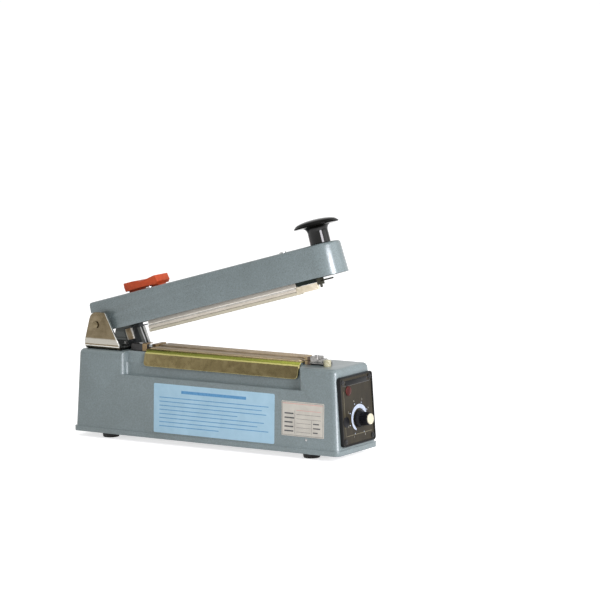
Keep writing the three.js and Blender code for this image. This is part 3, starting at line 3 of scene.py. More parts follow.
import bpy
import numpy as np
from mathutils import Matrix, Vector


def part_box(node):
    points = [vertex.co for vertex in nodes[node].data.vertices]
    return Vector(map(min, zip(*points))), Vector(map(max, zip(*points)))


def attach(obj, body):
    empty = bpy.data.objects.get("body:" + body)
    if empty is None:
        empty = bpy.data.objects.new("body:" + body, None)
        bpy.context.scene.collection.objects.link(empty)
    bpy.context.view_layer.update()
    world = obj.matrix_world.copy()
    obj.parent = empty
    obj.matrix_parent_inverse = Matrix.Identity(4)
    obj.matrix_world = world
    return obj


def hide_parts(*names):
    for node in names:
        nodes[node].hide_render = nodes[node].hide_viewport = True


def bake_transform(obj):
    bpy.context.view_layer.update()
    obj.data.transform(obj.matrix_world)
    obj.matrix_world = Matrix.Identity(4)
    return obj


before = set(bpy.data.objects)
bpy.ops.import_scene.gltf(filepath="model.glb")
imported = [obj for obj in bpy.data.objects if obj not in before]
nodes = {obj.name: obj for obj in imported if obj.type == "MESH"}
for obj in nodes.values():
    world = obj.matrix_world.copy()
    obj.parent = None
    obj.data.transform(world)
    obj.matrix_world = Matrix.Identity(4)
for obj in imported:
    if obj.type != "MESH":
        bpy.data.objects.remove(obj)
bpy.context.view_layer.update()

print("stage 1: frame loaded with", len(nodes), "nodes")

# Sizes are in millimetres and degrees unless a note says otherwise.

# The frames in which pieces are drawn: an origin, and the directions of its x, y and z.
armTilt, wallLean = math.radians(14.88), math.radians(3)
hinge = (-144.5, 0, 114.7)
armAlong = (math.cos(armTilt), 0, math.sin(armTilt))
frames = {
    "base": ((0, 0, 0), ((1, 0, 0), (0, 1, 0), (0, 0, 1))),
    # x along the arm, z out of its top
    "arm": (hinge, (armAlong, (0, 1, 0), (-math.sin(armTilt), 0, math.cos(armTilt)))),
    "panel": (  # x to the rear, y up the leaning panel, z out of its face
        (151.7986, 0, 48),
        ((0, 1, 0), (-math.sin(wallLean), 0, math.cos(wallLean)), (math.cos(wallLean), 0, math.sin(wallLean))),
    ),
    "frontWall": (  # x to the right, y up the drafted wall, z out of it
        (0, -34.4, 6),
        ((1, 0, 0), (0, math.sin(wallLean), math.cos(wallLean)), (0, -math.cos(wallLean), math.sin(wallLean))),
    ),
}


def toWorld(frameName, points):
    # world place in metres = (frame origin + local coordinates times the frame's directions) / 1000
    origin, directions = frames[frameName]
    return (np.array(origin, float) + np.asarray(points, float) @ np.array(directions, float)) / 1000


# Mesh making


def addObject(name, data):
    piece = bpy.data.objects.new(name, data)
    bpy.context.scene.collection.objects.link(piece)
    return piece


def makeMesh(name, vertices, faces, sharpAngle=32):
    # Signed volume = a sixth of the sum of corner a . (corner b x corner c); a negative one turns every face round.
    mesh = bpy.data.meshes.new(name)
    mesh.from_pydata(vertices.tolist(), [], faces)
    mesh.validate()
    mesh.calc_loop_triangles()
    corners = np.empty(len(mesh.loop_triangles) * 3, dtype=np.int32)
    mesh.loop_triangles.foreach_get("vertices", corners)
    a, b, c = vertices[corners].reshape(-1, 3, 3).transpose(1, 0, 2)
    if np.einsum("ij,ij->i", a, np.cross(b, c)).sum() < 0:
        mesh.flip_normals()
    mesh.shade_smooth()
    mesh.set_sharp_from_angle(angle=math.radians(sharpAngle))
    return addObject(name, mesh)


def gridFaces(rows, columns):
    # Four-sided faces between neighbours of a grid whose rows follow each other and whose last column joins the first.
    start = np.arange(rows - 1)[:, None] * columns
    low = (start + np.arange(columns)[None, :]).ravel()
    side = (start + (np.arange(columns)[None, :] + 1) % columns).ravel()
    return np.stack([low, side, side + columns, low + columns], 1)


def ringSurface(name, frameName, rings, startPoint, endPoint, sharpAngle=32):
    # Closed surface: equal rings joined by four-sided faces, and a fan of triangles to a pole at each end.
    rows, columns = rings.shape[:2]
    points = np.concatenate([rings.reshape(-1, 3), [startPoint], [endPoint]])
    faces = gridFaces(rows, columns).tolist()
    around = np.arange(columns)
    following = (around + 1) % columns
    start, end, last = rows * columns, rows * columns + 1, (rows - 1) * columns
    faces += np.stack([following, around, np.full(columns, start)], 1).tolist()
    faces += np.stack([last + around, last + following, np.full(columns, end)], 1).tolist()
    return makeMesh(name, toWorld(frameName, points), faces, sharpAngle)


def fullTurn(sides):
    return np.linspace(0, 2 * np.pi, sides, endpoint=False)


def arc(centre, radii, start, end, steps):
    # Points of an arc in a profile: first = centre + radius cos(a), second = centre + radius sin(a).
    angle = np.radians(np.linspace(start, end, steps))
    return np.column_stack([centre[0] + radii[0] * np.cos(angle), centre[1] + radii[1] * np.sin(angle)]).tolist()


def lathe(name, frameName, centre, profile, sides=64, wobble=None, sharpAngle=32):
    # A profile of radius and height turned round z: x = r cos(a), y = r sin(a); wobble(a, row) adds to the radius.
    profile, centre = np.array(profile, float), np.array(centre)
    angle = fullTurn(sides)
    radius = np.repeat(profile[1:-1, :1], sides, 1)
    if wobble is not None:
        radius = radius + wobble(angle[None, :], np.arange(1, len(profile) - 1)[:, None])
    height = np.repeat(profile[1:-1, 1:], sides, 1)
    rings = np.stack([radius * np.cos(angle), radius * np.sin(angle), height], 2) + centre
    start, end = (centre + (0, 0, profile[row, 1]) for row in (0, -1))
    return ringSurface(name, frameName, rings, start, end, sharpAngle)


def boxes(name, frameName, points):
    # Boxes of eight corners each: four round the bottom and then four round the top.
    shape = np.array([[3, 2, 1, 0], [4, 5, 6, 7], [0, 1, 5, 4], [1, 2, 6, 5], [2, 3, 7, 6], [3, 0, 4, 7]])
    faces = (np.arange(len(points))[:, None, None] * 8 + shape).reshape(-1, 4).tolist()
    return makeMesh(name, toWorld(frameName, points.reshape(-1, 3)), faces)


def slabs(name, frameName, rectangles, low, high):
    # One box for each rectangle (x0, x1, y0, y1), all from height low to height high.
    flat = np.array(rectangles, float)[:, np.array([[0, 2], [1, 2], [1, 3], [0, 3]])]
    levels = [np.concatenate([flat, np.full(flat.shape[:2] + (1,), level)], 2) for level in (low, high)]
    return boxes(name, frameName, np.concatenate(levels, 1))


def turnedBars(name, frameName, centre, radii, angles, width, low, high):
    # Radial bars: a box from the inner to the outer radius, turned to each angle.
    cosine, sine = (turn(np.radians(np.array(angles, float)))[:, None] for turn in (np.cos, np.sin))
    inner, outer = radii
    flat = ((inner, -1), (outer, -1), (outer, 1), (inner, 1))
    box = np.array([[radius, side * width / 2, level] for level in (low, high) for radius, side in flat])
    x = centre[0] + box[None, :, 0] * cosine - box[None, :, 1] * sine
    y = centre[1] + box[None, :, 0] * sine + box[None, :, 1] * cosine
    return boxes(name, frameName, np.stack([x, y, np.broadcast_to(box[:, 2], x.shape)], 2))


def plate(name, frameName, look, low, high, steps=8):
    # A flat plate with an arc at each corner, anticlockwise from the lower right one. Its upper edge is rounded by a
    # small step inwards towards its middle, and a last ring a little further in keeps the face flat.
    radius, edge = look["corner"], look["edge"]
    left, right = look["x"][0] + radius, look["x"][1] - radius
    lower, upper = look["y"][0] + radius, look["y"][1] - radius
    corners = (((right, lower), -90), ((right, upper), 0), ((left, upper), 90), ((left, lower), 180))
    outline = np.concatenate([arc(centre, (radius, radius), start, start + 90, steps) for centre, start in corners])
    middle = outline.mean(0)
    span = np.abs(outline - middle).max(0)
    inner, flat = (middle + (outline - middle) * (1 - inset / span) for inset in (edge, 2 * edge))
    levels = [(outline, low), (outline, high - edge * 0.6), (inner, high), (flat, high)]
    rings = np.stack([np.column_stack([shape, np.full(len(shape), level)]) for shape, level in levels])
    return ringSurface(name, frameName, rings, [*middle, low], [*middle, high])


def arcBand(name, frameName, centre, radii, angles, low, high, steps=72):
    # A band round a centre whose outer radius grows with the square of the share of its sweep, and whose ends are
    # rounded: radius = middle plus or minus half the width, times a smooth rise from each end.
    share = np.linspace(0, 1, steps)
    angle = np.radians(angles[0] + (angles[1] - angles[0]) * share)
    rise = np.clip(np.minimum(share, 1 - share) * 12, 0.25, 1) ** 0.5
    outer = radii[1] + (radii[2] - radii[1]) * share**2
    inner = radii[0] + (radii[3] - radii[0]) * share**4
    section = []
    for side, level in ((-1, low), (1, low), (1, high), (-1, high)):
        radius = (outer + inner) / 2 + side * (outer - inner) / 2 * rise
        x, y = centre[0] + radius * np.cos(angle), centre[1] + radius * np.sin(angle)
        section.append(np.stack([x, y, np.full(steps, level)], 1))
    rings = np.stack(section, 1)
    return ringSurface(name, frameName, rings, rings[0].mean(0), rings[-1].mean(0))


def screwHead(name, frameName, centre, size):
    # Height over the head = dome falling with the square of the radius, less a recess with smoothly sloping walls.
    sides, rows = 72, 30
    radius, centre = size["radius"], np.array(centre)
    angle = fullTurn(sides)
    reach = np.linspace(1, 1 / rows, rows)[:, None] * radius
    x, y = reach * np.cos(angle), reach * np.sin(angle)
    wide, longHalf, soft = size["slot"] * radius / 2, size["slotReach"] * radius, 0.08 * radius
    turned = math.radians(size.get("turned", 20))
    u, v = x * math.cos(turned) + y * math.sin(turned), y * math.cos(turned) - x * math.sin(turned)

    def step(distance):
        return 0.5 - 0.5 * np.tanh(distance / soft)

    def level(scale, height):
        return [np.stack([x[0] * scale, y[0] * scale, np.full(sides, height)], 1)]

    recess = step(np.abs(v) - wide) * step(np.abs(u) - longHalf)
    if size["cross"]:
        recess = np.maximum(recess, step(np.abs(u) - wide) * step(np.abs(v) - longHalf))
    head = np.stack([x, y, size["height"] - size["drop"] * (reach / radius) ** 2 - recess * size["slotDepth"]], 2)
    shank = size["shank"] / radius
    rings = np.concatenate([level(shank, -size["depth"]), level(shank, 0), level(1, 0), head]) + centre
    bottom, top = (centre + (0, 0, height) for height in (-size["depth"], size["height"] - size["slotDepth"]))
    return ringSurface(name, frameName, rings, bottom, top, 40)


def tube(name, frameName, path, radius, sides=14):
    # Sections stand across the path: their first direction is y crossed with the path's own, the second crosses both.
    along = np.gradient(path, axis=0)
    along /= np.linalg.norm(along, axis=1, keepdims=True)
    across = np.cross([0, 1, 0], along)
    across /= np.linalg.norm(across, axis=1, keepdims=True)
    up = np.cross(along, across)
    cosine, sine = (turn(fullTurn(sides))[None, :, None] for turn in (np.cos, np.sin))
    rings = path[:, None] + radius * (cosine * across[:, None] + sine * up[:, None])
    return ringSurface(name, frameName, rings, path[0], path[-1], 50)


# Finishes


def linear(red, green, blue):
    # A colour as seen on a screen, turned into the light values that a shader takes.
    value = np.array([red, green, blue]) / 255
    return (*np.where(value <= 0.04045, value / 12.92, ((value + 0.055) / 1.055) ** 2.4).tolist(), 1.0)


def link(tree, source, target):
    tree.links.new(source, target)


def newNode(tree, kind, values=None, **settings):
    # A node with its settings and the values of its sockets.
    node = tree.nodes.new(kind)
    for setting, value in settings.items():
        setattr(node, setting, value)
    for socket, value in (values or {}).items():
        node.inputs[socket].default_value = value
    return node


def pattern(tree, kind, place, output, values, **settings):
    node = newNode(tree, kind, values, **settings)
    link(tree, place, node.inputs["Vector"])
    return node.outputs[output]


def objectPlace(tree, stretch=(1, 1, 1)):
    place = newNode(tree, "ShaderNodeTexCoord")
    return pattern(tree, "ShaderNodeMapping", place.outputs["Object"], "Vector", {"Scale": stretch})


def noiseField(tree, place, size, detail=3, roughness=0.55, distortion=0.0):
    # size is the pattern's grain in millimetres
    values = {"Scale": 1000 / size, "Detail": detail, "Roughness": roughness, "Distortion": distortion}
    return pattern(tree, "ShaderNodeTexNoise", place, "Fac", values)


def waveField(tree, place, size, direction):
    repeat = 0.314  # length of one wave of the texture at scale 1
    values = {"Scale": 1000 / size * repeat, "Distortion": 0.3}
    return pattern(tree, "ShaderNodeTexWave", place, "Fac", values, bands_direction=direction)


def ramp(tree, field, stops):
    node = newNode(tree, "ShaderNodeValToRGB")
    elements = node.color_ramp.elements
    while len(elements) < len(stops):
        elements.new(0.5)
    for element, (place, colour) in zip(elements, stops):
        element.position = place
        element.color = colour
    link(tree, field, node.inputs["Fac"])
    return node.outputs["Color"]


def toneRamp(tree, field, tones):
    return ramp(tree, field, [(share, linear(*tone)) for share, tone in tones.items()])


def remap(tree, field, low, high, fromLow=0.3, fromHigh=0.7):
    values = {"From Min": fromLow, "From Max": fromHigh, "To Min": low, "To Max": high}
    node = newNode(tree, "ShaderNodeMapRange", values)
    link(tree, field, node.inputs["Value"])
    return node.outputs["Result"]


def combine(tree, first, second, kind="MULTIPLY"):
    node = newNode(tree, "ShaderNodeMath", operation=kind)
    link(tree, first, node.inputs[0])
    link(tree, second, node.inputs[1])
    return node.outputs["Value"]


def bump(tree, field, depth, strength):
    # depth is in millimetres
    node = newNode(tree, "ShaderNodeBump", {"Distance": depth / 1000, "Strength": strength})
    link(tree, field, node.inputs["Height"])
    return node.outputs["Normal"]


def blankFinish(sockets):
    material = bpy.data.materials.new("finish")
    material.use_nodes = True
    shader = material.node_tree.nodes["Principled BSDF"]
    for socket, value in sockets.items():
        shader.inputs[socket].default_value = value
    return material, material.node_tree, shader


def connect(tree, shader, colour, roughness, normal):
    for socket, source in (("Base Color", colour), ("Roughness", roughness), ("Normal", normal)):
        link(tree, source, shader.inputs[socket])


def hammeredPaint(look):
    # Stove enamel that pulls into small dimples: rounded cells under a fine noise, with a slow drift of tone.
    material, tree, shader = blankFinish(look["sockets"])
    place = objectPlace(tree)
    cellValues = {"Scale": 1000 / look["cell"], "Smoothness": 0.6}
    cells = pattern(tree, "ShaderNodeTexVoronoi", place, "Distance", cellValues, feature="SMOOTH_F1")
    grain = noiseField(tree, place, look["grain"], detail=2, roughness=0.5, distortion=0.4)
    drift = noiseField(tree, place, look["drift"])
    mottle = combine(tree, cells, grain, "ADD")
    shade = combine(tree, remap(tree, mottle, -0.5, 0.5, 0.55, 1.25), remap(tree, drift, -0.35, 0.35), "ADD")
    colour = toneRamp(tree, remap(tree, shade, 0, 1, -0.9, 0.9), look["tones"])
    connect(tree, shader, colour, remap(tree, grain, *look["roughness"]), bump(tree, mottle, look["depth"], 0.7))
    return material


# The directions along which the painted light bands and the gloss change
bandWays = {
    "right": (1, 0, 0), "rear": (0, 1, 0), "up": (0, 0, 1), "armUp": (-0.2568, 0, 0.9665),
    "acrossBlade": (0.916, 0, 0.4025), "bracketSlope": (0.888, 0, 0.46),
}


def shareAlong(tree, way, levels):
    # How far the place along a direction lies within the levels, as a share from 0 to 1. The line wavers a little.
    along = newNode(tree, "ShaderNodeVectorMath", {1: bandWays[way]}, operation="DOT_PRODUCT")
    link(tree, objectPlace(tree), along.inputs[0])
    low, high = min(levels), max(levels)
    waver = remap(tree, noiseField(tree, objectPlace(tree), 4, detail=2), -0.00015, 0.00015)
    place = remap(tree, combine(tree, along.outputs["Value"], waver, "ADD"), 0, 1, low / 1000, high / 1000)
    stops = [((level - low) / (high - low), (share, share, share, 1)) for level, share in levels.items()]
    return ramp(tree, place, stops)


def paintLightAlong(tree, colour, way, levels, tone):
    # Painted light and shade: the colour goes over to another tone by that share.
    mix = newNode(tree, "ShaderNodeMix", data_type="RGBA")
    mix.inputs[7].default_value = linear(*tone)
    link(tree, shareAlong(tree, way, levels), mix.inputs[0])
    link(tree, colour, mix.inputs[6])
    return mix.outputs[2]


def platedMetal(tones, cloud, mark, depth, roughness, metallic=1.0, stretch=(0.3, 1, 1), paintedLight=()):
    # Metal whose tone drifts in soft clouds, with fine drawing marks along one direction, and painted light in bands.
    material, tree, shader = blankFinish({"Metallic": metallic})
    clouds = noiseField(tree, objectPlace(tree), cloud, detail=4, roughness=0.6, distortion=0.8)
    marks = noiseField(tree, objectPlace(tree, stretch), mark, roughness=0.6)
    tone = combine(tree, remap(tree, clouds, 0.1, 0.9), remap(tree, marks, -0.12, 0.12), "ADD")
    colour = toneRamp(tree, tone, tones)
    # bands of painted highlight, reflection and shade laid over the tones
    for lightBand in paintedLight:
        colour = paintLightAlong(tree, colour, *lightBand)
    rough = remap(tree, combine(tree, clouds, marks), *roughness, 0.15, 0.4)
    connect(tree, shader, colour, rough, bump(tree, marks, depth, 0.5))
    return material


def mouldedPlastic(dark, light, grain, flow, depth, roughness, gloss=0.5, stretch=(1, 1, 1), polish=None, clear=None):
    # Moulded surface: a fine leathery grain, and faint flow clouds in tone and roughness. Polish is a gloss by place.
    material, tree, shader = blankFinish({"Specular IOR Level": gloss, **(clear or {})})
    grains = noiseField(tree, objectPlace(tree), grain, roughness=0.6)
    clouds = noiseField(tree, objectPlace(tree, stretch), flow, roughness=0.6, distortion=0.6)
    colour = toneRamp(tree, remap(tree, clouds, 0, 1), {0.0: dark, 1.0: light})
    rough = remap(tree, combine(tree, clouds, grains, "ADD"), *roughness, 0.7, 1.3)
    connect(tree, shader, colour, rough, bump(tree, grains, depth, 0.5))
    if polish is not None:
        share = shareAlong(tree, polish["way"], polish["levels"])
        link(tree, remap(tree, share, *polish["gloss"], 0, 1), shader.inputs["Specular IOR Level"])
    return material


def wovenCloth(dark, light, thread, stain, depth, roughness, gloss=0.5):
    # Plain weave: the product of two waves at right angles, one thread apart, stained in slow clouds.
    material, tree, shader = blankFinish({"Specular IOR Level": gloss})
    place = objectPlace(tree)
    weave = combine(tree, waveField(tree, place, thread, "X"), waveField(tree, place, thread, "Y"))
    stains = noiseField(tree, place, stain, detail=4, roughness=0.6, distortion=0.5)
    tone = combine(tree, remap(tree, stains, 0.1, 0.9), remap(tree, weave, -0.15, 0.15, 0, 1), "ADD")
    colour = toneRamp(tree, tone, {0.0: dark, 1.0: light})
    connect(tree, shader, colour, remap(tree, stains, *roughness), bump(tree, weave, depth, 0.8))
    return material


enamel = {
    "tones": {0.0: (96, 107, 107), 0.5: (106, 118, 119), 1.0: (118, 131, 133)},
    "cell": 1.5, "grain": 0.9, "drift": 45, "depth": 0.05,
}
armEnamel = {"Metallic": 0.1, "Specular IOR Level": 0.42, "Coat Weight": 0.4, "Coat Roughness": 0.2}
bodyEnamel = {"Metallic": 0.1, "Specular IOR Level": 0.5, "Coat Weight": 0.42, "Coat Roughness": 0.32}
finishes = {
    "enamel": hammeredPaint(dict(enamel, roughness=(0.25, 0.36), sockets=armEnamel)),
    "bodyEnamel": hammeredPaint(dict(enamel, roughness=(0.32, 0.43), sockets=bodyEnamel)),
    # Metals: tones by share, grain of the clouds and the drawing marks, depth of the marks, roughness from and to. A
    # band of painted light is a direction, its share by level in millimetres, and a tone; a dark tone paints shade.
    "zinc": platedMetal(
        {0.0: (108, 96, 66), 0.4: (125, 112, 78), 0.7: (138, 125, 89), 1.0: (158, 146, 108)}, 10, 1.8, 0.02,
        (0.24, 0.4), stretch=(0.5, 1, 0.2), paintedLight=(
            # painted shade: the plate darkens towards the right
            ("right", {-95: 0, 100: 0.6}, (80, 72, 52)),
            # painted reflection: a yellow-green band over the bed's slope
            ("up", {88.6: 0, 89.4: 0.85, 92.3: 0.8, 92.7: 0}, (124, 130, 52)),
            # painted highlight: a bright line along the bend
            ("up", {88.7: 0, 89.1: 0.9, 89.8: 0.9, 90.2: 0}, (196, 188, 124)),
            # painted reflection: brown-gold over the bed's top
            ("up", {92.4: 0, 92.8: 0.8}, (134, 110, 74)),
        ),
    ),
    "nickel": platedMetal(
        # tones partly painted: darkened to brown-gold as a painted reflection of warm, dark surroundings
        {0.0: (100, 89, 68), 0.6: (124, 112, 90), 1.0: (142, 130, 108)}, 18, 1.6, 0.015, (0.16, 0.3),
        stretch=(0.12, 1, 1), paintedLight=(
            # painted highlight: a bright band across the bend of the cheeks
            ("up", {95.0: 0, 95.5: 0.9, 100.0: 0.9, 101.4: 0}, (178, 175, 166)),
            # painted highlight: a thin bright line low on the bend
            ("up", {92.6: 0, 93.0: 0.9, 93.7: 0.9, 94.1: 0}, (214, 213, 207)),
            # painted shade: the faces inside the bracket, between its cheeks, are dark
            ("rear", {-23.9: 0, -23.5: 0.92, 25.4: 0.92, 25.8: 0}, (54, 59, 60)),
            # painted highlight: the cut edge along the bracket's slope is bright
            ("bracketSlope", {-59.2: 0, -58.9: 1}, (226, 226, 222)),
        ),
    ),
    # painted highlight on the rounded edges of the bed plate
    "paintedEdgeHighlight": platedMetal({0.0: (164, 153, 100), 1.0: (190, 180, 130)}, 9, 0.8, 0.005, (0.22, 0.34), 0.8),
    "pinSteel": platedMetal({0.0: (96, 84, 62), 1.0: (140, 128, 104)}, 4, 0.8, 0.01, (0.2, 0.34), stretch=(1, 1, 1)),
    "bladeSteel": platedMetal(
        {0.0: (96, 100, 98), 1.0: (122, 125, 121)}, 6, 0.8, 0.01, (0.3, 0.44), 0.45, paintedLight=(
            # painted shade: a dark line across the blade
            ("acrossBlade", {-49.9: 0, -49.6: 0.95, -47.9: 0.95, -47.6: 0}, (48, 50, 50)),
            # painted highlight: the blade is bright beyond the dark line
            ("acrossBlade", {-47.9: 0, -47.6: 0.9}, (214, 215, 212)),
            # painted highlight: a bright line along the blade
            ("acrossBlade", {-51.5: 0, -51.3: 1, -50.2: 1, -50.0: 0}, (232, 233, 233)),
        ),
    ),
    "clampSteel": platedMetal(
        {0.0: (104, 102, 100), 0.5: (146, 144, 141), 1.0: (188, 186, 182)}, 3.5, 0.9, 0.03, (0.24, 0.42),
        stretch=(0.5, 1, 1),
    ),
    "tanBlock": platedMetal(
        {0.0: (142, 122, 88), 1.0: (176, 157, 120)}, 5, 0.8, 0.02, (0.4, 0.55), 0.0,
        # painted shade: the block darkens at its right end, next to the clamp
        paintedLight=(("right", {105.0: 0, 105.8: 0.9}, (66, 50, 40)),),
    ),
    "clipBrown": platedMetal(
        {0.0: (112, 88, 58), 0.6: (134, 112, 78), 1.0: (152, 134, 100)}, 5, 1.0, 0.02, (0.35, 0.5), 0.4, (0.4, 1, 1),
    ),
    "darkSteel": platedMetal(
        {0.0: (62, 66, 68), 1.0: (92, 96, 97)}, 9, 1.2, 0.01, (0.3, 0.45), 0.6,
        # painted highlight: a bright line across the carriage
        paintedLight=(("acrossBlade", {-75.5: 0, -75.2: 1, -73.7: 1, -73.4: 0}, (222, 223, 222)),),
    ),
    "rodSteel": platedMetal({0.0: (30, 30, 22), 1.0: (66, 65, 52)}, 3, 0.8, 0.01, (0.26, 0.4), 0.7, (1, 1, 0.3)),
    "steel": platedMetal({0.0: (150, 150, 150), 1.0: (196, 196, 194)}, 9, 0.8, 0.01, (0.2, 0.34)),
    "galvanised": platedMetal(
        {0.0: (128, 130, 132), 1.0: (170, 172, 174)}, 7, 2.5, 0.02, (0.34, 0.5), 0.9, (0.5, 1, 1),
    ),
    "aluminium": platedMetal(
        {0.0: (186, 178, 163), 1.0: (210, 202, 189)}, 30, 1.2, 0.02, (0.3, 0.42), 0.3, (0.02, 1, 1), paintedLight=(
            # painted highlight: a bright line along the bar's flange
            ("armUp", {133.5: 0, 133.9: 0.95, 135.4: 0.95, 135.8: 0}, (252, 248, 238)),
            # painted shadow: the bar darkens towards its top, under the arm
            ("armUp", {135.6: 0, 136.6: 0.92}, (164, 160, 151)),
        ),
    ),
    "brass": platedMetal(
        {0.0: (158, 140, 110), 1.0: (204, 186, 154)}, 7, 0.9, 0.015, (0.3, 0.46), 0.3, paintedLight=(
            # painted highlight: a bright border at one edge of the clamp
            ("acrossBlade", {-63.3: 0, -63.0: 0.95}, (236, 234, 224)),
            # painted highlight: a bright border at the other edge of the clamp
            ("acrossBlade", {-69.6: 0.9, -69.3: 0}, (222, 220, 208)),
        ),
    ),
    "copper": platedMetal({0.0: (122, 58, 24), 1.0: (176, 92, 44)}, 12, 0.6, 0.12, (0.28, 0.42), 0.7, (1, 1, 0.04)),
    "iron": platedMetal({0.0: (58, 56, 54), 1.0: (96, 93, 90)}, 14, 0.7, 0.1, (0.45, 0.6), 0.8, (0.02, 1, 0.02)),
    # Moulded pieces and foils: dark and light tone, size of the grain and the clouds, depth of the grain, roughness.
    "glossBlack": mouldedPlastic(
        (5, 5, 4), (10, 10, 8), 0.9, 16, 0.002, (0.08, 0.14),
        polish={"way": "armUp", "levels": {185.5: 0, 188: 1}, "gloss": (0.34, 0.04)},
    ),
    "knobBlack": mouldedPlastic((8, 8, 9), (19, 19, 20), 0.35, 9, 0.015, (0.28, 0.42), 0.3),
    "endBlack": mouldedPlastic((16, 26, 22), (28, 39, 34), 0.4, 6, 0.015, (0.4, 0.55), 0.12),
    "dialBlack": mouldedPlastic((5, 5, 8), (13, 13, 18), 0.35, 7, 0.012, (0.3, 0.44), 0.2),
    "panelBlack": mouldedPlastic((7, 8, 9), (16, 17, 18), 0.5, 14, 0.01, (0.26, 0.38), 0.18),
    "panelFoil": mouldedPlastic((32, 28, 20), (52, 47, 35), 0.5, 14, 0.012, (0.36, 0.5), 0.18, (1, 1, 0.2)),
    "rubber": mouldedPlastic((16, 16, 16), (34, 33, 32), 0.4, 7, 0.04, (0.6, 0.85)),
    "red": mouldedPlastic((168, 62, 29), (186, 78, 41), 0.4, 10, 0.012, (0.42, 0.55), 0.25),
    "ivory": mouldedPlastic((188, 182, 156), (206, 200, 176), 0.35, 5, 0.01, (0.25, 0.4)),
    "silicone": mouldedPlastic((176, 169, 148), (200, 194, 173), 0.5, 20, 0.03, (0.5, 0.68), stretch=(0.1, 1, 1)),
    "phenolic": mouldedPlastic((182, 164, 128), (206, 190, 156), 0.3, 5, 0.03, (0.45, 0.62), stretch=(0.2, 1, 1)),
    "paleLaminate": mouldedPlastic((204, 192, 164), (228, 219, 196), 0.3, 4, 0.03, (0.42, 0.58), stretch=(0.4, 1, 1)),
    "clear": mouldedPlastic(
        (168, 164, 130), (204, 200, 172), 0.4, 4, 0.01, (0.18, 0.3), clear={"Transmission Weight": 0.25, "IOR": 1.46},
    ),
    "lens": mouldedPlastic((50, 18, 16), (78, 27, 23), 0.4, 3, 0.01, (0.3, 0.42), 0.15),
    "board": mouldedPlastic((32, 74, 46), (58, 110, 70), 0.5, 6, 0.03, (0.35, 0.55)),
    "bakelite": mouldedPlastic((22, 21, 21), (44, 42, 41), 0.4, 6, 0.03, (0.4, 0.55)),
    "plateCream": mouldedPlastic((178, 174, 164), (193, 189, 178), 0.5, 12, 0.006, (0.35, 0.48)),
    "stickerBlue": mouldedPlastic((150, 184, 202), (162, 195, 212), 0.6, 18, 0.006, (0.35, 0.5)),
    "panelBead": mouldedPlastic((30, 28, 24), (46, 43, 37), 0.5, 9, 0.01, (0.22, 0.34), 0.45),
    # Cloths: dark and light tone, thread, size of the stains, depth of the weave, roughness.
    "cloth": wovenCloth((120, 100, 68), (162, 142, 108), 0.7, 14, 0.06, (0.35, 0.5), 0.15),
    "felt": wovenCloth((146, 128, 100), (184, 166, 138), 0.9, 11, 0.08, (0.5, 0.7)),
}
inks = {  # dark and light tone, size of the clouds, roughness
    "inkDark": ((58, 60, 62), (88, 88, 88), 2, (0.5, 0.65)),
    "inkRose": ((190, 120, 112), (206, 142, 134), 2, (0.5, 0.65)),
    "inkBlue": ((70, 128, 172), (96, 150, 190), 2, (0.5, 0.65)),
    "inkGold": ((74, 69, 50), (98, 91, 68), 3, (0.35, 0.5)),
    "inkWhite": ((158, 169, 186), (184, 193, 208), 2, (0.4, 0.55)),
    "inkDim": ((128, 126, 116), (150, 148, 138), 2, (0.4, 0.55)),
}
for name, (dark, light, flow, roughness) in inks.items():
    finishes[name] = mouldedPlastic(dark, light, 0.3, flow, 0.004, roughness)
for name, material in finishes.items():
    material.name = name
print("stage 2: finishes made:", len(finishes))


def dress(piece, finish, body=None):
    piece.data.materials.clear()
    piece.data.materials.append(finishes[finish])
    if body is not None:
        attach(piece, body)


# The CAD nodes: their finish, and the width of the rounding along their edges

nodeLooks = {
    "body_casting": ("bodyEnamel", 0.7), "base_plate": ("galvanised", 0.15), "arm_casting": ("enamel", 0.5),
    "hinge_bracket": ("nickel", 0.25), "hinge_pin": ("pinSteel", 0.3), "pin_clip": ("steel", 0.1),
    "bed_plate": ("zinc", 0.45), "bed_bar": ("phenolic", 0.12), "rear_pad": ("felt", 0.3),
    "heating_ribbon": ("clipBrown", 0), "release_cloth": ("cloth", 0),
    "left_terminal_block": ("bakelite", 0.25), "right_terminal_block": ("tanBlock", 0.25),
    "right_terminal_plate": ("clampSteel", 0.15), "right_terminal_clamp": ("clampSteel", 0.25),
    "switch_body": ("bakelite", 0.2), "switch_button": ("clear", 0.3), "transformer_core": ("iron", 0.2),
    "transformer_coil": ("copper", 0.6), "inlet_bush": ("rubber", 0.25), "control_panel": ("panelBlack", 0.25),
    "potentiometer": ("steel", 0.2), "timer_board": ("board", 0.15), "mushroom_screw": ("steel", 0.2),
    "seal_bar": ("aluminium", 0.2), "silicone_strip": ("silicone", 0.25), "bar_end_plate": ("paleLaminate", 0.2),
    "switch_striker": ("rodSteel", 0.25), "tension_rod": ("rodSteel", 0.1), "cutter_slider": ("red", 0.3),
    "cutter_carriage": ("darkSteel", 0.3), "cutter_blade": ("bladeSteel", 0), "blade_clamp": ("brass", 0.2),
    "bar_end_block": ("endBlack", 0.3),
}
# Nodes whose rounded edges take a lighter finish: a painted highlight
edgeHighlights = {"bed_plate": "paintedEdgeHighlight"}
meshFinish = {"weld": 0.01, "flatWithin": 0.4, "roundFrom": 38, "roundSteps": 3, "sharpFrom": 33}


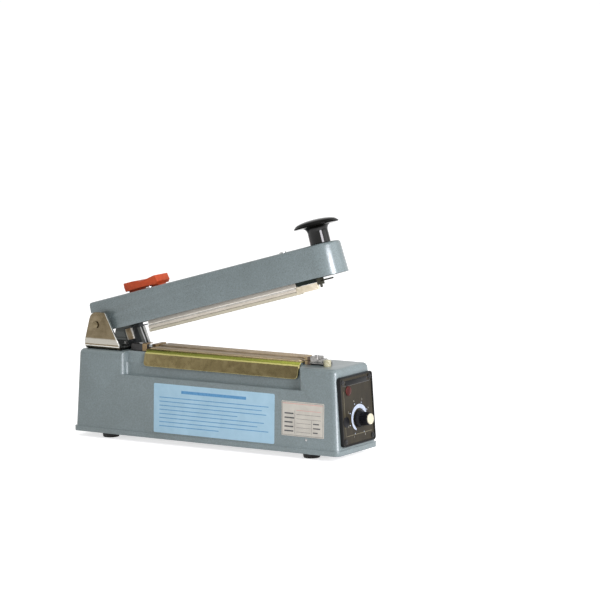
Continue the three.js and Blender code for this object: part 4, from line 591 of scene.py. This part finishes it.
def edgeShading(angle):
    # Faces are shaded smooth, and an edge stays sharp where its two faces turn by more than the angle.
    tree = bpy.data.node_groups.new("smoothShading", "GeometryNodeTree")
    for way in ("INPUT", "OUTPUT"):
        tree.interface.new_socket("Geometry", in_out=way, socket_type="NodeSocketGeometry")
    chain = [
        newNode(tree, "NodeGroupInput"), newNode(tree, "GeometryNodeRemoveAttribute", {"Name": "custom_normal"}),
        newNode(tree, "GeometryNodeSetShadeSmooth"),
        newNode(tree, "GeometryNodeSetShadeSmooth", {"Shade Smooth": False}, domain="EDGE"),
        newNode(tree, "NodeGroupOutput"),
    ]
    for source, target in zip(chain, chain[1:]):
        link(tree, source.outputs["Geometry"], target.inputs["Geometry"])
    above = newNode(tree, "FunctionNodeCompare", {"B": math.radians(angle)}, operation="GREATER_THAN")
    link(tree, newNode(tree, "GeometryNodeInputMeshEdgeAngle").outputs["Unsigned Angle"], above.inputs["A"])
    link(tree, above.outputs["Result"], chain[3].inputs["Selection"])
    return tree


shading = edgeShading(meshFinish["sharpFrom"])
for name, (finish, rounding) in nodeLooks.items():
    node = nodes[name]
    dress(node, finish)
    node.modifiers.new("weld", "WELD").merge_threshold = meshFinish["weld"] / 1000
    flat = node.modifiers.new("flat", "DECIMATE")
    flat.decimate_type = "DISSOLVE"
    flat.angle_limit = math.radians(meshFinish["flatWithin"])
    if rounding > 0:
        bevel = node.modifiers.new("rounding", "BEVEL")
        bevel.width = rounding / 1000
        bevel.segments = meshFinish["roundSteps"]
        bevel.limit_method = "ANGLE"
        bevel.angle_limit = math.radians(meshFinish["roundFrom"])
        bevel.miter_outer = "MITER_ARC"
        # the rounding's faces take the painted edge highlight
        if name in edgeHighlights:
            node.data.materials.append(finishes[edgeHighlights[name]])
            bevel.material = 1
    node.modifiers.new("smooth", "NODES").node_group = shading
print("stage 3: CAD nodes dressed:", len(nodeLooks))


# The arm: mushroom knob, screw heads of the seal bar's hangers, and the spring

armTop = 23.2
headFoot = armTop + 0.3
mushroom = {
    "fromPin": 275, "bore": [(0, 14.3), (2.75, 14.3), (2.75, 0)], "stem": [(9.7, 0), (10.2, 0.5), (10.05, 12.1)],
    # arcs: centre, radii, first and last angle, count of points
    "fillet": ((15.7, 12.1), (5.5, 5.5), 171, 90, 10), "lip": ((21.35, 18.45), (0.95, 0.95), -90, 75, 12),
    "dome": ((0, 19.4), (21.1, 4.76), 8, 90, 18),
}
mushroomProfile = mushroom["bore"] + mushroom["stem"] + arc(*mushroom["fillet"]) + arc(*mushroom["lip"])
mushroomProfile += arc(*mushroom["dome"])
mushroomProfile[-1][0] = 0
mushroomPiece = lathe("mushroomKnob", "arm", (mushroom["fromPin"], 0, headFoot), mushroomProfile, 96, None, 40)
dress(mushroomPiece, "glossBlack", "arm")
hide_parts("mushroom_knob")

hanger = {
    "turned": {"bar_hanger_1": 35, "bar_hanger_2": -20}, "sealLine": -10.5,
    "head": {
        "radius": 3.5, "height": 1.0, "drop": 0.3, "slot": 0.2, "slotReach": 2, "slotDepth": 0.5, "cross": False,
        "shank": 2.2,
    },
}
for nodeName, turned in hanger["turned"].items():
    middle = np.mean(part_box(nodeName), 0) * 1000
    local = np.array(frames["arm"][1]) @ (middle - np.array(hinge))
    # The screw ends as far below the node's middle as its head stands above it.
    bottom = 2 * local[2] - (headFoot + hanger["head"]["height"])
    head = dict(hanger["head"], turned=turned, depth=headFoot - bottom)
    piece = screwHead(nodeName + "_screw", "arm", (local[0], hanger["sealLine"], headFoot), head)
    dress(piece, "steel", "arm")
    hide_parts(nodeName)

spring = {
    "meanRadius": 5.2, "wire": 0.8, "pitch": 2.4, "turns": 5, "start": 3, "foot": 92.1, "climb": 45, "toe": 4,
    "roof": 20.2, "roofGap": 0.3, "bendShare": 0.07, "turnsFrom": 5.6, "turnsTo": 9,
}


def springPath(size):
    # Foot leg straight up, then a helix (x = r cos a, z = r sin a, y rising evenly with a), a leg and a toe.
    hingeX, _, hingeZ = hinge
    climb = armTilt + math.radians(size["climb"])
    sweep = math.pi / 2 - climb + size["turns"] * 2 * math.pi
    share = np.linspace(0, 1, size["turns"] * 40)
    angle = math.pi - sweep * share
    radius, start = size["meanRadius"], size["start"]
    rise = start + size["pitch"] * size["turns"] * share
    helix = np.column_stack([hingeX + radius * np.cos(angle), rise, hingeZ + radius * np.sin(angle)])
    foot = [(hingeX - radius, start, z) for z in np.linspace(size["foot"], hingeZ, 10, endpoint=False)]
    # leg length = (height up to the wire under the roof - height of the helix's end) / sine of the leg's climb
    tip = radius * math.cos(math.radians(size["climb"]))
    legLength = (size["roof"] - size["wire"] - size["roofGap"] - tip) / math.sin(math.radians(size["climb"]))
    up, along = np.array([math.cos(climb), 0, math.sin(climb)]), np.array(armAlong)
    knee, cut = helix[-1] + up * legLength, legLength * size["bendShare"]
    leg = helix[-1] + np.linspace(0, 1 - size["bendShare"], 14)[1:, None] * up * legLength
    bend = np.linspace(0, 1, 8)[1:, None]
    last = knee + along * cut
    corner = (1 - bend) ** 2 * leg[-1] + 2 * bend * (1 - bend) * knee + bend ** 2 * last
    toe = last + np.linspace(0, 1, 6)[1:, None] * along * (size["toe"] - cut)
    return np.concatenate([foot, helix, leg, corner, toe]), up


wirePath, legDirection = springPath(spring)
springPiece = tube("returnSpring", "base", wirePath, spring["wire"])
dress(springPiece, "steel")
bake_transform(springPiece)
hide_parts("arm_spring")
print("stage 4: arm pieces made")


# The timer panel: knob, lamp, scale and screws. Profiles are radius and height over the piece's own foot.

panelFace = 2.8
dial = {
    "x": 1.5, "y": -9.6, "foot": panelFace + 0.6, "flutes": 18, "fluteDepth": 0.45,
    "bore": ((0, 6.7), (3.25, 6.7), (3.25, 0)), "gripTop": (6.3, 12.3),
    "skirt": ((8.0, 0), (8.3, 0.3), (8.3, 1.0), (7.9, 2.0), (7.3, 3.0), (6.9, 3.6), (6.8, 4.2)),
    "rim": ((6.1, 12.6), (5.85, 12.8), (5.55, 12.8), (5.55, 12.2), (0, 12.2)),
}
gripFoot, gripTop = np.array(dial["skirt"][-1]), np.array(dial["gripTop"])
gripPart = gripFoot + np.linspace(0.1, 1, 8)[:, None] * (gripTop - gripFoot)
knobProfile = np.concatenate([dial["bore"], dial["skirt"], gripPart, dial["rim"]])
grip = np.zeros(len(knobProfile))  # depth of the flutes by row, as a share
grip[9:17] = 1
grip[8] = grip[17] = 0.5


def flutes(angle, row):
    # Each flute is a narrow valley: depth times the sixth power of the cosine of half the flutes' angle.
    return -dial["fluteDepth"] * grip[row] * np.cos(dial["flutes"] * angle / 2) ** 6


knobPiece = lathe("timerDialKnob", "panel", (dial["x"], dial["y"], dial["foot"]), knobProfile, 216, flutes, 40)
dress(knobPiece, "dialBlack", "timer_dial")
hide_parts("timer_knob")
cap = {
    "foot": dial["foot"] + 12.3, "wall": [(0, 0), (5.1, 0), (5.3, 0.2), (5.3, 0.82)],
    "corner": ((4.75, 0.82), (0.55, 0.55), 15, 80, 6), "crown": [(3.2, 1.37), (1.6, 1.39), (0, 1.39)],
}
capProfile = cap["wall"] + arc(*cap["corner"]) + cap["crown"]
capPiece = lathe("timerDialCap", "panel", (dial["x"], dial["y"], cap["foot"]), capProfile, 72)
dress(capPiece, "ivory", "timer_dial")
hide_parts("timer_knob_cap")

lamp = {
    "x": -14, "y": 19.7, "barrel": ((0, -11.8), (4, -11.8), (4, 0.1)), "domeFoot": 1.0, "dome": (3.8, 0.8),
    "ring": ((4.6, 0.1), (4.8, 0.3), (4.8, 0.7), (4.6, 0.9), (4.1, 0.95), (3.95, 1.0)),
    "domeTurns": (20, 40, 60, 75, 90),
}
turn = np.radians(lamp["domeTurns"])
lampDome = np.column_stack([lamp["dome"][0] * np.cos(turn), lamp["domeFoot"] + lamp["dome"][1] * np.sin(turn)])
lampDome[-1, 0] = 0
lampProfile = np.concatenate([lamp["barrel"], lamp["ring"], lampDome])
lampPiece = lathe("lampLens", "panel", (lamp["x"], lamp["y"], panelFace), lampProfile)
dress(lampPiece, "lens", "base")
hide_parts("pilot_lamp")

panelScrew = {
    "radius": 2.7, "height": 0.9, "drop": 0.3, "slot": 0.24, "slotReach": 0.62, "slotDepth": 0.5, "cross": True,
    "shank": 1.5, "depth": 2.6, "foot": panelFace + 0.15,
}
for level, y in (("top_", 29), ("bottom_", -29)):
    for side, x in (("front", -23.5), ("rear", 23.5)):
        size = dict(panelScrew, turned=17 + x)
        piece = screwHead("panelScrew_" + level + side, "panel", (x, y, panelScrew["foot"]), size)
        dress(piece, "knobBlack", "base")
        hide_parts("panel_screw_" + level + side)

foil = {"x": (-26.7, 26.7), "y": (-32.2, 32.2), "corner": 1.8, "sunk": 0.02, "rise": 0.08, "edge": 0.05}
foilPiece = plate("panelFoil", "panel", foil, panelFace - foil["sunk"], panelFace + foil["rise"])
dress(foilPiece, "panelFoil", "base")
printLow, printHigh = panelFace + 0.06, panelFace + 0.13

scale = {
    "radii": (9.9, 12.6, 15.6, 11.4), "angles": (244, 20), "tickRadii": (15.4, 16.7), "tickWidth": 0.8,
    "numberAngles": (240, -60), "numberRadii": (19.2, 19.2), "numbers": "12345678", "height": 2.9,
}
dialPlace = (dial["x"], dial["y"])
band = arcBand("dialScale", "panel", dialPlace, scale["radii"], scale["angles"], printLow, printHigh)
dress(band, "inkWhite", "base")


def plainNumbers(name, frameName, places, height, low, high):
    # Each number is a flat text made a mesh, merged, and moved to its place in the frame.
    everyPoint, everyFace, count = [], [], 0
    for text, x, y in places:
        curve = bpy.data.curves.new("number", "FONT")
        curve.body = text
        curve.size = height
        curve.align_x = curve.align_y = "CENTER"
        curve.extrude = (high - low) / 2
        curve.resolution_u = 4
        carrier = addObject("number", curve)
        mesh = bpy.data.meshes.new_from_object(carrier.evaluated_get(bpy.context.evaluated_depsgraph_get()))
        points = np.empty(len(mesh.vertices) * 3)
        mesh.vertices.foreach_get("co", points)
        everyPoint.append(points.reshape(-1, 3) + np.array([x, y, (low + high) / 2]))
        everyFace += [[corner + count for corner in face.vertices] for face in mesh.polygons]
        count += len(points) // 3
        bpy.data.objects.remove(carrier)
        bpy.data.meshes.remove(mesh)
    points = np.concatenate(everyPoint)
    _, first, index = np.unique(np.round(points, 4), axis=0, return_index=True, return_inverse=True)
    merged = [[int(index.ravel()[corner]) for corner in face] for face in everyFace]
    return makeMesh(name, toWorld(frameName, points[first]), [face for face in merged if len(set(face)) > 2])


spread = (*scale["numberAngles"], len(scale["numbers"]))
ticks = turnedBars(
    "dialTicks", "panel", dialPlace, scale["tickRadii"], np.linspace(*spread), scale["tickWidth"], printLow, printHigh,
)
dress(ticks, "inkWhite", "base")
numberPlaces = [(text, *at) for text, at in zip(scale["numbers"], arc(dialPlace, scale["numberRadii"], *spread))]
numbers = plainNumbers("dialNumbers", "panel", numberPlaces, scale["height"], printLow, printHigh)
dress(numbers, "inkDim", "base")

panelLines = {"left": (-22.5, -21.8, -24.5, 20), "bottom": (-20.5, 22.5, -24.5, -23.8)}
panelRules = slabs("panelRules", "panel", list(panelLines.values()), printLow, printHigh)
dress(panelRules, "inkGold", "base")

# Two raised beads cross the top of the panel, and a blind plug closes the spare hole beside the dial.
beads = {
    "y": (25.2, 28.6), "x": (-24.5, 24.5), "radius": 0.9, "rise": 0.45, "foot": panelFace + 0.02, "fade": 2,
    "end": 0.15,
}
turn = np.radians(np.linspace(0, 180, 9))
places = np.linspace(*beads["x"], 25)
fromEnd = np.minimum(places - beads["x"][0], beads["x"][1] - places)
swell = np.clip(fromEnd / beads["fade"] + beads["end"], 0, 1)[:, None] ** 0.5
for count, y in enumerate(beads["y"]):
    across = y + beads["radius"] * np.cos(turn)[None, :] * swell
    above = beads["foot"] + beads["rise"] * np.sin(turn)[None, :] * swell
    rings = np.stack([np.broadcast_to(places[:, None], across.shape), across, above], 2)
    bead = ringSurface("panelBead_" + str(count + 1), "panel", rings, rings[0].mean(0), rings[-1].mean(0), 50)
    dress(bead, "panelBead", "base")
plug = {
    "place": (-20.3, dial["y"] - 0.5), "wall": [(0, -0.02), (5.2, -0.02), (5.2, 0.25)], "radius": 5.2, "rise": 0.7,
    "fall": 0.3, "shares": (0.94, 0.85, 0.7, 0.5, 0.3, 0),
}
plugProfile = plug["wall"] + [(plug["radius"] * part, plug["rise"] - plug["fall"] * part**2) for part in plug["shares"]]
plugPiece = lathe("panelPlug", "panel", (*plug["place"], panelFace), plugProfile, 48)
dress(plugPiece, "dialBlack", "base")
print("stage 5: timer panel made")


# The front wall: rating plate and blue label with plain ruled lines

wallGap = 0.02


def wallPlate(name, look, finish):
    piece = plate(name, "frontWall", look, wallGap, wallGap + look["thickness"])
    dress(piece, finish, "base")


def wallLines(name, look, rectangles, finish):
    # Raised lines, whose places are measured from the plate's lower left corner.
    x, y = look["x"][0], look["y"][0]
    piece = slabs(name, "frontWall", np.array(rectangles) + (x, x, y, y), *look["ink"])
    dress(piece, finish, "base")


def ruledRows(start, lengths, height, feet):
    # One rectangle (x0, x1, y0, y1) for each length and foot, all from one start.
    return [(start, start + length, foot, foot + height) for length, foot in zip(lengths, feet)]


rowFeet = np.linspace(4.2, 21.4, 5)
ratingPlate = {
    "x": (87.6, 137.4), "y": (16.3, 50.3), "corner": 1.0, "thickness": 0.3, "edge": 0.12, "ink": (0.3, 0.36),
    "border": ((0.8, 49.0, 32.9, 33.2), (0.8, 49.0, 0.8, 1.1), (0.8, 1.1, 1.1, 32.9), (48.7, 49.0, 1.1, 32.9)),
    "columns": ((15.6, 15.85, 2.6, 25.4), (35.2, 35.45, 2.6, 16.4)),
    "rose": ((1.4, 48.4, 31.6, 32.0), (17.5, 46.3, 25.4, 25.75)),
    # rows: start, lengths, height and feet
    "rules": (17.5, (28.8, 28.8, 16.8, 16.8, 16.8), 0.3, rowFeet[::-1]),
    "bars": (3.6, (10.5, 11.5, 9.5, 10.5, 10.5), 1.4, rowFeet[::-1]), "endBars": (37.2, (5.5, 8.5, 7), 1.2, rowFeet),
}
wallPlate("ratingPlate", ratingPlate, "plateCream")
plateRules = [
    *ratingPlate["border"], *ruledRows(*ratingPlate["rules"]), *ruledRows(*ratingPlate["bars"]),
    *ratingPlate["columns"], *ruledRows(*ratingPlate["endBars"]),
]
wallLines("plateRules", ratingPlate, plateRules, "inkDark")
wallLines("plateRoseRules", ratingPlate, ratingPlate["rose"], "inkRose")
plateRivet = {
    "place": (116.8, 13.6), "radius": 1.3, "height": 0.75, "drop": 0.5, "slot": 0.1, "slotReach": 0.1,
    "slotDepth": 0.02, "cross": False, "shank": 0.8, "depth": 1.5,
}
rivet = screwHead("plateRivet", "frontWall", (*plateRivet["place"], wallGap), plateRivet)
dress(rivet, "steel", "base")

blueLabel = {
    "x": (-68.0, 79.0), "y": (6.4, 55.8), "corner": 1.5, "thickness": 0.15, "edge": 0.06, "ink": (0.14, 0.2),
    "heading": (34, 113, 40.9, 43.9),
    "rows": (7, 133 * np.array([1.0, 0.94, 0.98, 0.72, 0.96, 0.9, 1.0, 0.55]), 0.8, np.linspace(35.4, 6.7, 8)),
}
wallPlate("blueLabel", blueLabel, "stickerBlue")
wallLines("labelRules", blueLabel, [blueLabel["heading"], *ruledRows(*blueLabel["rows"])], "inkBlue")
print("stage 6: plate and label made")


# The base: screws, feet, and the cover and block at the bed's left end

bracketScrew = {
    "radius": 4, "height": 2.2, "drop": 0.9, "slot": 0.24, "slotReach": 0.6, "slotDepth": 1.1, "cross": True,
    "shank": 2, "depth": 6, "x": -134.0, "foot": 91.8,
}
for nodeName, y in (("bracket_screw_front", -14), ("bracket_screw_rear", 14)):
    place = (bracketScrew["x"], y, bracketScrew["foot"])
    piece = screwHead(nodeName + "_head", "base", place, dict(bracketScrew, turned=y * 2))
    dress(piece, "steel", "base")
    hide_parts(nodeName)

terminalScrews = {
    "left_terminal_screw": {
        "radius": 2.6, "height": 1.4, "drop": 0.35, "slot": 0.22, "slotReach": 0.62, "slotDepth": 0.7, "cross": True,
        "turned": 12,
    },
    "right_terminal_screw": {
        "radius": 2.0, "height": 1.1, "drop": 0.3, "slot": 0.24, "slotReach": 2, "slotDepth": 0.5, "cross": False,
        "turned": 55,
    },
}
for nodeName, size in terminalScrews.items():
    low, high = np.array(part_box(nodeName)) * 1000
    headLevel = high[2] - size["height"]
    size = dict(size, shank=(high[0] - low[0]) / 4, depth=headLevel - low[2])  # the shank is half as wide as the node
    piece = screwHead(nodeName + "_head", "base", ((low[0] + high[0]) / 2, (low[1] + high[1]) / 2, headLevel), size)
    dress(piece, "steel", "base")
    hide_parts(nodeName)


def ringTurned(name, centre, profile, sides=72):
    # A closed profile turned round z, so that the surface is a ring with a hole through it.
    profile, angle = np.array(profile, float), fullTurn(sides)
    x = profile[:, :1] * np.cos(angle) + centre[0]
    y = profile[:, :1] * np.sin(angle) + centre[1]
    points = np.stack([x, y, np.repeat(profile[:, 1:], sides, 1)], 2).reshape(-1, 3)
    faces = gridFaces(len(profile) + 1, sides) % len(points)
    return makeMesh(name, toWorld("base", points), faces.tolist())


rubberFoot = {
    "x": {"left": -133.6, "right": 113.0}, "y": {"front": -19, "rear": 19},
    # radius and height of the section, round the screw's pocket and up the outside
    "section": (
        (2.25, 3.3), (4.3, 3.3), (4.3, 0.4), (4.7, 0), (7.5, 0), (7.95, 0.15), (8.2, 0.6), (8.35, 1.8), (8.45, 2.0),
        (8.75, 4.6), (8.8, 5.0), (9, 5.2), (9, 5.85), (8.8, 6), (2.25, 6),
    ),
}
for side, x in rubberFoot["x"].items():
    for row, y in rubberFoot["y"].items():
        piece = ringTurned("rubberFoot_" + row + "_" + side, (x, y), rubberFoot["section"])
        dress(piece, "rubber", "base")
        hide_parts("foot_" + row + "_" + side)
        dress(nodes["foot_screw_" + row + "_" + side], "steel")


def bentStrip(name, frameName, path, x0, x1, thickness):
    # A flat strip from x0 to x1, bent along a path of y and z: each ring is the path's point plus and minus half the
    # thickness along the path's own normal, which is its direction turned by a quarter.
    path = np.array(path, float)
    direction = np.gradient(path, axis=0)
    direction /= np.linalg.norm(direction, axis=1)[:, None]
    normal = np.column_stack([-direction[:, 1], direction[:, 0]]) * thickness / 2
    corners = ((x0, 1), (x1, 1), (x1, -1), (x0, -1))
    rings = np.stack([np.column_stack([np.full(len(path), x), path + side * normal]) for x, side in corners], 1)
    return ringSurface(name, frameName, rings, rings[0].mean(0), rings[-1].mean(0))


coverStrip = {
    "x": (-92.0, -86.8), "front": -17.2, "rear": -6.3, "foot": 90.4, "top": 97.5, "bend": 1.1, "gap": 0.1, "sheet": 0.8,
    "edge": 0.12,
}
front, crown, bend, gap = (coverStrip[key] for key in ("front", "top", "bend", "gap"))
coverPath = [(front, z) for z in np.linspace(coverStrip["foot"], crown - bend - gap, 4)]
coverPath += arc((front + bend, crown - bend), (bend, bend), 180, 90, 8)
coverPath += [(y, crown) for y in np.linspace(front + bend + gap, coverStrip["rear"], 4)]
coverPiece = bentStrip("terminalCover", "base", coverPath, *coverStrip["x"], coverStrip["sheet"])
dress(coverPiece, "clipBrown", "base")
coverEdge = coverPiece.modifiers.new("rounding", "BEVEL")
coverEdge.width, coverEdge.segments = coverStrip["edge"] / 1000, 2

padBlock = {"x": (-92.0, -86.8), "y": (-1.7, 16.4), "corner": 0.8, "foot": 90.1, "top": 95.2, "edge": 0.4}
blockPiece = plate("padEndBlock", "base", padBlock, padBlock["foot"], padBlock["top"])
dress(blockPiece, "clipBrown", "base")
print("stage 7: screws, cover, block and feet made")


# Stage, light and camera

stageLook = {
    "floorColour": (226, 226, 226), "floorGlow": 0.62, "fibre": 3, "fibreTone": 2, "worldSoft": 0.53,
    "floorReach": 12.0,
}


def seenBy(tree, *rays):
    # 1 where the light path is one of these rays, otherwise 0
    path = newNode(tree, "ShaderNodeLightPath")
    seen = path.outputs[rays[0]]
    for ray in rays[1:]:
        seen = combine(tree, seen, path.outputs[ray], "MAXIMUM")
    return seen


def floorFinish(look):
    # Diffuse white that glows a little towards the camera and in reflections, so it reads white and takes the shadow.
    material, tree, shader = blankFinish({"Roughness": 0.9, "Specular IOR Level": 0.1, "Emission Color": (1, 1, 1, 1)})
    tone = look["floorColour"]
    fibre = noiseField(tree, objectPlace(tree), look["fibre"], detail=2)
    tones = {0.3: [value - look["fibreTone"] for value in tone], 0.7: tone}
    link(tree, toneRamp(tree, fibre, tones), shader.inputs["Base Color"])
    seen = seenBy(tree, "Is Camera Ray", "Is Glossy Ray")
    link(tree, remap(tree, seen, 0, look["floorGlow"], 0, 1), shader.inputs["Emission Strength"])
    return material


reach = stageLook["floorReach"]  # metres
floorMesh = bpy.data.meshes.new("floor")
floorCorners = [(-reach, -reach, 0), (reach, -reach, 0), (reach, reach, 0), (-reach, reach, 0)]
floorMesh.from_pydata(floorCorners, [], [(0, 1, 2, 3)])
floorMesh.materials.append(floorFinish(stageLook))
floorPiece = addObject("floor", floorMesh)

world = bpy.data.worlds.new("studio")
bpy.context.scene.world = world
world.use_nodes = True
background = world.node_tree.nodes["Background"]
background.inputs["Color"].default_value = (1, 1, 1, 1)
seen = seenBy(world.node_tree, "Is Camera Ray", "Is Glossy Ray", "Is Transmission Ray")
strength = remap(world.node_tree, seen, stageLook["worldSoft"], 1, 0, 1)
link(world.node_tree, strength, background.inputs["Strength"])


def standAt(piece, right, up, back, place):
    # The piece's own x, y and z directions and its place are the columns of its matrix.
    rows = np.vstack([np.column_stack([right, up, back, place]), [0, 0, 0, 1]])
    piece.matrix_world = Matrix(rows.tolist())


# Lights: place, aim, size, power and colour. Their lengths, and the camera's place, are in metres.
lights = {
    "keyLight": ((1.25, -0.48, 0.46), (0.05, 0, 0.1), (0.5, 0.5), 18.5, (0.97, 0.94, 1)),
    "sideLight": ((1.5, 0.6, 0.9), (0.1, 0, 0.08), (1.4, 1.2), 7, (0.94, 0.97, 1)),
    "topLight": ((-0.2, -0.4, 2.4), (0, 0, 0.1), (1.6, 1.6), 12, (1, 1, 0.99)),
}
for name, (place, aim, size, power, colour) in lights.items():
    data = bpy.data.lights.new(name, "AREA")
    data.shape = "RECTANGLE"
    data.size, data.size_y = size
    data.energy, data.color = power, colour
    back = np.subtract(place, aim)
    back /= np.linalg.norm(back)
    side = np.cross([0, 0, 1], back)
    side /= np.linalg.norm(side)
    standAt(addObject(name, data), side, np.cross(back, side), back, place)

view = {
    "place": (1.9523, -2.7031, 0.6024), "azimuth": 34.57, "elevation": 7.83, "roll": -1.18, "lens": 203.3, "sensor": 36,
    "nearest": 0.05,
}
azimuth, elevation, roll = (math.radians(view[key]) for key in ("azimuth", "elevation", "roll"))
level = math.cos(elevation)
back = np.array([math.sin(azimuth) * level, -math.cos(azimuth) * level, math.sin(elevation)])
right = np.array([math.cos(azimuth), math.sin(azimuth), 0])
up = np.cross(back, right)
rolledRight = right * math.cos(roll) + up * math.sin(roll)
rolledUp = up * math.cos(roll) - right * math.sin(roll)
cameraData = bpy.data.cameras.new("camera")
cameraData.lens = view["lens"]
cameraData.sensor_width = view["sensor"]
cameraData.clip_start = view["nearest"]
cameraPiece = addObject("camera", cameraData)
standAt(cameraPiece, rolledRight, rolledUp, back, view["place"])
bpy.context.scene.camera = cameraPiece
bpy.context.scene.view_settings.view_transform = "Standard"
print("stage 8: stage, lights and camera set")
